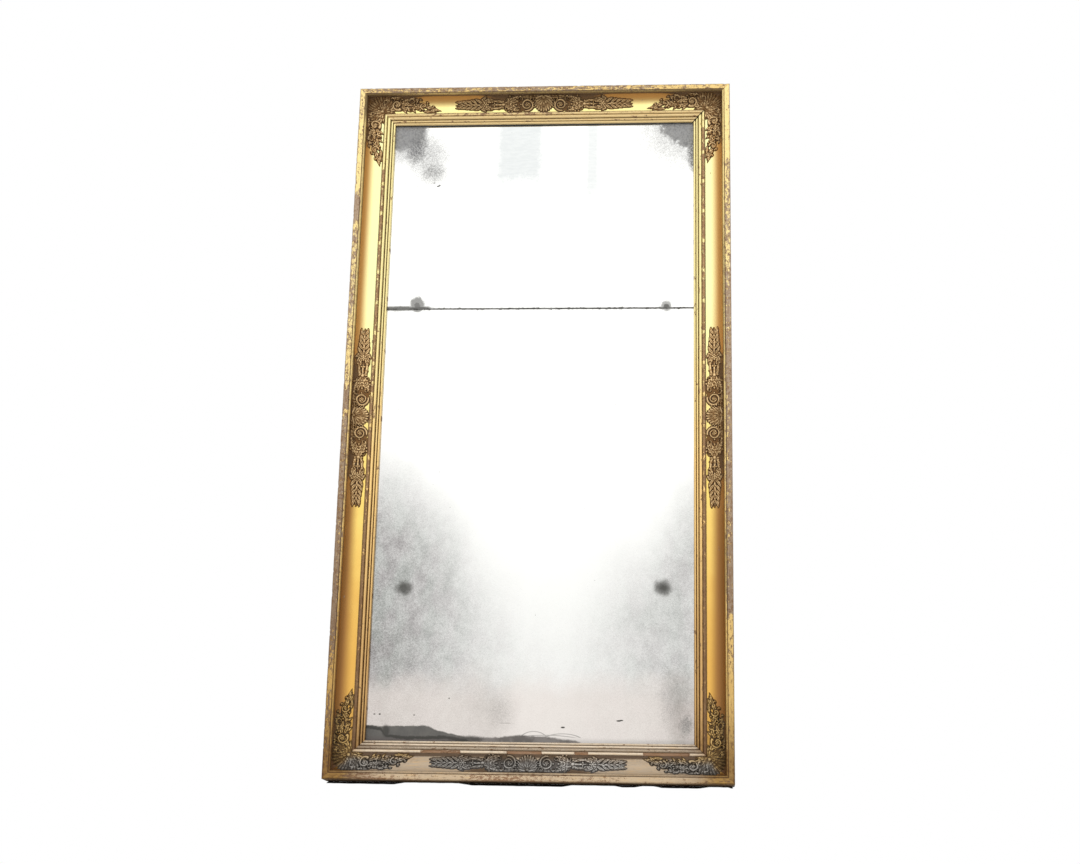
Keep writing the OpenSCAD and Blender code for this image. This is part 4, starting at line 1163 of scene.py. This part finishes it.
# Tones of the painted reflection on the lower plate.
REFLECTION_TONES = ((0.098, 0.112, 0.10), (0.13, 0.108, 0.115))
REFLECTION_LOW = (0.19, 0.12, 0.09)
GRIT_GREY = (0.22, 0.215, 0.205)
BAND_TONES = ((0.088, 0.078, 0.072), (0.175, 0.158, 0.15))
BARE_TONES = ((0.175, 0.175, 0.18), (0.245, 0.245, 0.26))
BARE_DARK = (0.12, 0.12, 0.12)
FOOT_TONES = ((0.09, 0.088, 0.082), (0.122, 0.118, 0.108))
FOOT_WARM = (0.10, 0.085, 0.08)
SEAM_BLACK = (0.028, 0.026, 0.02)


def offsets(x, z, centre, half):
    """Distances from a place on the plates, as shares of two half sizes in millimetres."""
    return (x - (centre[0] - FRAME_W / 2) * MM) * (1 / (half[0] * MM)), (z - centre[1] * MM) * (1 / (half[1] * MM))


def reach_to(x, z, centre, radii):
    """1 in the middle of an ellipse, 0 on its edge and negative outside."""
    dx, dz = offsets(x, z, centre, radii)
    return 1.0 - (dx * dx + dz * dz).calc("SQRT")


def slab_to(x, z, centre, half):
    """The same for an upright slab."""
    dx, dz = offsets(x, z, centre, half)
    return 1.0 - most(abs(dx), abs(dz))


# Patches of the plates: middle (from the left edge and from the floor), half sizes, edge softness, strength.
LOST_SILVER = (
    ((112, 1806), (80, 80), 0.35, 0.93),
    ((948, 1836), (116, 112), 0.2, 0.9),
)
WORN_SILVER = (
    ((158, 1744), (34, 52), 1.6, 0.95),
    ((130, 1740), (62, 44), 1.9, 0.5),
    ((192, 1712), (54, 60), 1.9, 0.46),
    ((208, 1668), (34, 32), 1.9, 0.6),
    ((930, 1822), (148, 142), 1.3, 0.42),
    ((934, 1722), (22, 56), 1.2, 0.9),
    # The last row is a painted shade along the top edge of the glass, below the top rail.
    ((500, 1838), (420, 18), 1.4, 0.22),
)
# Grey grit low down: soft speckled places.
GRIT = (
    ((882, 214), (30, 60), 1.8, 0.32),
    ((909, 147), (15, 26), 1.2, 0.6),
    ((436, 178), (30, 36), 1.9, 0.26),
    ((408, 200), (44, 50), 1.9, 0.12),
    ((120, 330), (75, 60), 1.6, 0.26),
)
# Scratched arcs over the foot: middle and half sizes of the ellipses whose crowns show.
ARCS = (((527, 107), (34, 21)), ((600, 105), (50, 18)), ((560, 95), (110, 24)))
ARCS_OVER = 111
FAINT_BLOOM = (
    ((450, 1752), (62, 118), 0.5, 0.95),
    ((450, 1700), (70, 150), 1.1, 0.5),
    ((652, 1750), (16, 180), 0.9, 0.8),
)
# Dark blots on the joint and over the pads, and small spots.
BLOTS = (
    ((182, 1274), (20, 21), 0.4, 0.62),
    ((181, 1271), (12, 13), 1.0, 0.78),
    ((184, 1263), (38, 6), 0.9, 0.85),
    ((135, 1263), (58, 7), 0.9, 0.8),
    ((857, 1267), (14, 14), 0.5, 0.5),
    ((857, 1265), (10, 9), 1.2, 0.85),
    ((181, 492), (18, 16), 1.5, 0.8),
    ((851, 498), (19, 18), 1.5, 0.9),
    ((600, 139), (5.5, 2.2), 0.6, 0.95),
    ((741, 157), (6, 2), 0.6, 0.95),
    ((747, 158), (5, 1.8), 0.6, 0.95),
    ((225, 1622), (4, 2), 0.8, 0.85),
    ((229, 1625), (3, 2), 0.8, 0.85),
    ((214, 1632), (3, 2), 0.8, 0.5),
    ((119, 167), (2.4, 2), 0.8, 0.6),
    ((133, 167), (2.6, 2), 0.8, 0.8),
    ((221, 166), (2.4, 2), 0.8, 0.7),
    ((309, 209), (2.2, 2), 0.8, 0.6),
    ((150, 126), (9, 14), 0.8, 0.75),
    ((372, 108), (26, 7), 1.0, 0.6),
    ((455, 148), (17, 1.2), 0.6, 0.35),
)
# Lines below which the lower plate shows its painted grey reflection, and the most light it takes away, by place from
# the left.
REFLECTION_TOP = ((100, 900), (200, 835), (300, 760), (350, 685), (400, 625), (500, 540), (600, 530), (700, 620),
            (750, 655), (800, 670), (850, 730), (890, 800), (935, 850))
REFLECTION_SHARE = ((100, 0.62), (200, 0.57), (300, 0.46), (350, 0.36), (400, 0.26), (500, 0.14), (600, 0.12),
              (700, 0.22), (750, 0.30), (800, 0.38), (890, 0.44), (935, 0.42))
# The same near the foot of the plate, where the painted reflection is even and warmer.
FOOT_REFLECTION_SHARE = ((100, 0.42), (300, 0.32), (420, 0.34), (500, 0.20), (600, 0.21), (700, 0.26), (800, 0.28),
              (860, 0.36), (890, 0.54), (935, 0.50))
DARK_FOOT = ((90, 138), (102, 139), (137, 137), (250, 141), (281, 129), (315, 121), (350, 113), (372, 98), (940, 60))
FOOT_BAND = ((90, 80), (300, 100), (340, 116), (392, 112), (442, 114), (493, 119), (556, 116), (632, 107),
             (660, 96), (940, 60))
FOOT_LINE = ((90, 136), (137, 130), (150, 114), (200, 108), (300, 111), (350, 104), (940, 60))


def patches(x, z, rows, wander, shape=reach_to):
    """Strength of the strongest of several soft shapes with ragged edges."""
    found = []
    for centre, radii, softness, strength in rows:
        reach = shape(x, z, centre, radii) + wander
        found.append(reach.fade(-softness / 2, softness / 2, 0, strength))
    return most(*found)


def plate_finish():
    """Old mercury silvering with lost patches, foxing and rubbed spots, and a mottled painted reflection on the lower
    plate.
    """
    shader = Shader("old_mirror")
    spot = shader.place()
    x, _, z = spot.parts()
    fine = spot.noise(4.0, 4, 0.7)
    grit = spot.noise(2.6, 2, 0.6)
    ragged = spot.noise(15, 5, 0.62)
    slow = spot.noise(120, 3, 0.5)
    cloud = spot.stretched((1, 1, 0.75)).noise(30, 4, 0.62)
    tint = spot.stretched((1, 1, 0.5)).noise(48, 2, 0.5)
    wander = ragged.about(1.1)
    speckle = fine.about(1.0)

    lost = patches(x, z, LOST_SILVER, wander * 0.5 + speckle * 0.3)
    worn = patches(x, z, WORN_SILVER, wander * 0.7 + speckle * 0.5)
    worn = worn * spot.noise(3.4, 2, 0.6).fade(0.36, 0.66, 0.7, 1.35)
    grey = most(lost, worn) * fine.fade(0.3, 0.62, 1.1, 0.8)
    bloom = patches(x, z, FAINT_BLOOM, wander * 0.45 + speckle * 0.3, slab_to)

    # Both plates end in a ragged dark line at the joint.
    from_joint = abs(z - JOINT_Z * MM)
    nibble = spot.noise(9, 4, 0.7).fade(0.45, 0.78, 0, 3.0 * MM)
    seam = (from_joint - nibble).fade(2.9 * MM, 1.3 * MM)
    seam = seam * spot.noise(26, 3, 0.6).fade(0.35, 0.6, 0.82, 1.0)
    blots = patches(x, z, BLOTS, wander * 0.9)
    foxing = spot.cells(30).fade(0.05, 0.02)
    pits = foxing * slow.fade(0.47, 0.6, 0, 0.6)
    dark = most(seam, blots, pits)

    # Painted reflection on the lower plate, mottled, strongest at its sides, paler and warmer towards the foot.
    below = by_place(x, REFLECTION_TOP, MM) - (z + slow.about(90 * MM))
    ramp = (below + 15 * MM).calc("DIVIDE", 260 * MM, clamp=True)
    low_down = (z + slow.about(150 * MM)).fade(310 * MM, 190 * MM)
    mottle = cloud * 0.5 + fine * 0.5
    stir = mottle.fade(0.34, 0.66, 0.78, 1.22)
    upper = ramp * by_place(x, REFLECTION_SHARE) * stir
    lower = by_place(x, FOOT_REFLECTION_SHARE) * mottle.fade(0.3, 0.7, 0.88, 1.12)
    painted_reflection = upper * (1.0 - low_down) + lower * low_down
    # dust here is a grit speckle over the painted reflection.
    dust = grit.about(0.85) * (ramp * (by_place(x, REFLECTION_SHARE) + 0.1))
    painted_reflection = painted_reflection.calc("ADD", dust * low_down.fade(0, 1, 1.0, 0.55), clamp=True)

    wavy = z + ragged.about(9 * MM)
    foot = (by_place(x, DARK_FOOT, MM) - wavy).fade(-1.5 * MM, 2.5 * MM)
    band = (by_place(x, FOOT_BAND, MM) - wavy).fade(-2 * MM, 4 * MM, 0, 0.92)
    rim = abs(by_place(x, FOOT_LINE, MM) - wavy).fade(5.5 * MM, 2 * MM, 0, 0.85) * foot
    rest_of_foot = z.fade(116 * MM, 100 * MM, 0.0, 0.38)
    low_grit = patches(x, z, GRIT, speckle + wander)
    low_grit = low_grit * grit.fade(0.36, 0.64, 0.6, 1.4)
    arcs = []
    for centre, radii in ARCS:
        off = abs(reach_to(x, z, centre, radii))
        arcs.append(off.fade(1.6 / radii[1], 0.5 / radii[1], 0, 0.6))
    arcs = most(*arcs) * z.fade(ARCS_OVER * MM, (ARCS_OVER + 5) * MM)

    streaky = spot.stretched((0.3, 1, 1)).noise(8, 4, 0.65).fade(0.35, 0.65, 0.86, 1.0)
    skin = low_down.blend(SILVER, WARM_SILVER)
    skin = (bloom * streaky).blend(skin, BLOOM)
    # grime here is the grey tone of the painted reflection.
    grime = tint.fade(0.35, 0.65).blend(*REFLECTION_TONES)
    grime = (low_down * 0.6).blend(grime, REFLECTION_LOW)
    skin = painted_reflection.blend(skin, grime)
    skin = most(rest_of_foot, low_grit, arcs).blend(skin, GRIT_GREY)
    band_tone = cloud.fade(0.4, 0.6).blend(*BAND_TONES)
    skin = band.blend(skin, band_tone)
    patch = slow.fade(0.35, 0.65).blend(*BARE_TONES)
    patch = fine.fade(0.45, 0.7, 0, 0.5).blend(patch, BARE_DARK)
    skin = grey.blend(skin, patch)
    foot_tone = cloud.fade(0.35, 0.65).blend(*FOOT_TONES)
    foot_tone = z.fade(118 * MM, 100 * MM).blend(foot_tone, FOOT_WARM)
    skin = (foot * 0.95).blend(skin, foot_tone)
    skin = most(dark, rim).blend(skin, SEAM_BLACK)
    dull = most(grey, dark, foot)
    shader.set(base_color=skin, metallic=dull.fade(0, 1, 1, 0))
    shader.set(roughness=dull * 0.45 + painted_reflection.fade(0, 0.6, 0.02, 0.16))
    shader.set(coat_weight=0.2, coat_roughness=0.03)
    return shader.material


# ---------------------------------------------------------------- felt and iron

FELT = (0.10, 0.12, 0.09)
FELT_DARK = (0.06, 0.072, 0.054)
IRON = (0.10, 0.095, 0.09)
RUST = (0.20, 0.085, 0.04)


def felt():
    """Grey-green wool felt."""
    shader = Shader("felt")
    spot = shader.place()
    fine = spot.noise(1 / 3, 3, 0.6)
    tone = spot.noise(2, 4, 0.6) * 0.6 + fine * 0.4
    shader.set(base_color=tone.fade(0.35, 0.65).blend(FELT, FELT_DARK))
    shader.set(roughness=fine.fade(0.3, 0.7, 0.87, 1.03), metallic=0.0)
    shader.bump(fine, 0.6, 0.6)
    return shader.material


def iron():
    """Forged iron, dark with a little rust."""
    shader = Shader("iron")
    spot = shader.place()
    rust = spot.noise(5, 4, 0.65).fade(0.5, 0.68)
    fine = spot.noise(1.2, 3, 0.6)
    shader.set(base_color=rust.blend(IRON, RUST))
    shader.set(metallic=rust.fade(0, 1, 0.9, 0.1), roughness=rust.fade(0, 1, 0.42, 0.85))
    shader.bump(fine, 0.2, 0.6)
    return shader.material


def dress(names, material):
    """Gives CAD nodes a material; their meshes stay as they are."""
    for name in names:
        node = bpy.data.objects[name]
        node.data.materials.clear()
        node.data.materials.append(material)


# ---------------------------------------------------------------- the mirror

# Distance between the sections of each moulding along its side.
LIP_STEP = 3.0
MEMBER_STEP = 12.0
REED_STEP = 3.2


def mouldings():
    """Lips, hollow members and reeded sight mouldings of the four sides."""
    bare = wood("frame_wood", (0.30, 0.20, 0.115), (0.17, 0.10, 0.055), along_run=True)
    lip_gilt = gilding("gilt_lip", LIP_GOLD, 0.38, patina=0.6, mottled=0.3)
    cove_gilt = gilding("gilt_hollow", HOLLOW_GOLD, 0.28, 0.95, dusty=(0.57, 0.45, 0.325), mottled=0.08, sooty=0.6)
    reed_look = {"patina": 0.12, "mottled": 0.2, "wood": WARM_WOOD, "chalk": 0.25}
    reed_gilt = gilding("gilt_reeds", REED_GOLD, dusty=(0.95, 0.80, 0.62), **reed_look)
    # The top reeds get a paler dusty colour, less dirt and little soot: a painted highlight for the reeds of the top
    # side.
    lit_crown_gilt = gilding("lit_gilt_crown_reeds", REED_GOLD, dirt_and_shade_share=0.7, dusty=(1.0, 0.76, 0.38), sooty=0.1,
                         **reed_look)
    lip, cove, sight = lip_outline(), cove_outline(), sight_outline()
    members = {"left": "left_stile", "right": "right_stile", "top": "top_rail", "bottom": "bottom_rail"}
    cracks = {"left": (0, 0), "right": (0.6, 0.6), "top": (0, 0.6), "bottom": (0, 0.6)}
    for side in SIDES:
        reeds = lit_crown_gilt if side == "top" else reed_gilt
        swept(f"{side}_worn_lip", side, lip, LIP_STEP, lip_wear, [lip_gilt, bare], [f"{side}_lip"],
              len(lip) - 2)
        swept(f"{side}_worn_member", side, cove, MEMBER_STEP, cove_wear, [cove_gilt, bare], [members[side]],
              cove.index((REED_U, GROUND_D)))
        swept(f"{side}_worn_reeds", side, sight, REED_STEP, reed_wear, [reeds, bare], [f"{side}_sight_moulding"],
              len(sight) - 2, cracks[side])


def castings():
    gold = ((0.96, 0.68, 0.35), (0.25, 0.125, 0.042), (0.085, 0.042, 0.015))
    olive = ((0.64, 0.43, 0.17), (0.18, 0.10, 0.033), (0.055, 0.031, 0.012))
    brown = ((0.46, 0.34, 0.22), (0.17, 0.105, 0.055), (0.05, 0.032, 0.018))
    pewter = ((0.60, 0.575, 0.54), (0.15, 0.133, 0.122), (0.05, 0.044, 0.04))
    # shaded_gold is the gold darkened: a painted shade for the top centre casting.
    shaded_gold = ((0.72, 0.50, 0.25), (0.18, 0.095, 0.035), (0.07, 0.036, 0.014))
    soot = ((0.45, 0.42, 0.385), (0.105, 0.09, 0.076), (0.036, 0.03, 0.025))
    dark = casting_finish("gilt_casting", *gold)
    shaded_crown = casting_finish("shaded_crown_casting", *shaded_gold)
    foot = casting_finish("dusty_corner_casting", *soot, upper=olive, shade=0.7)
    dusty = casting_finish("dusty_casting", *pewter, upper=brown, shade=0.5)
    for name, right, top in (("top_left", 0, 1), ("top_right", 1, 1), ("bottom_left", 0, 0), ("bottom_right", 1, 0)):
        corner_casting(f"{name}_corner", right, top, dark if top else foot)
    for side in SIDES:
        centre_casting(side, {"bottom": dusty, "top": shaded_crown}.get(side, dark))


# Woods of the back: light and dark shade, direction of the fibres and the nodes.
WOODS = {
    "back_wood_upright": ((0.40, 0.255, 0.13), (0.22, 0.125, 0.06), 2,
                          ("back_left_stile", "back_right_stile", "back_upper_muntin", "back_middle_muntin",
                           "back_lower_muntin")),
    "back_wood_level": ((0.37, 0.235, 0.12), (0.20, 0.112, 0.052), 0,
                        ("back_top_rail", "back_bottom_rail", "back_upper_cross_rail", "back_lower_cross_rail")),
    "back_panel_wood": ((0.50, 0.36, 0.22), (0.32, 0.205, 0.11), 2,
                        [f"back_{row}_{hand}_panel" for row in ("upper", "middle", "lower")
                         for hand in ("left", "right")]),
    "peg_wood": ((0.30, 0.19, 0.10), (0.15, 0.085, 0.045), 1, ("back_pegs",)),
    "key_wood": ((0.46, 0.27, 0.12), (0.24, 0.125, 0.05), 2, ("mitre_keys",)),
    "block_wood": ((0.44, 0.31, 0.19), (0.27, 0.17, 0.09), 2, ("plate_blocks",)),
}


def carried_over():
    """Materials of the CAD nodes that stay: plates, back, blocks and iron."""
    dress(("upper_mirror_plate", "lower_mirror_plate"), plate_finish())
    for name, (light, dark, axis, nodes) in WOODS.items():
        dress(nodes, wood(name, light, dark, axis))
    dress(("felt_pads",), felt())
    dress(("back_screws", "left_hanger_plate", "right_hanger_plate", "hanger_screws",
           "left_hanging_ring", "right_hanging_ring"), iron())


camera()
world()
floor()
mouldings()
castings()
carried_over()
bpy.context.scene.view_settings.view_transform = "Standard"
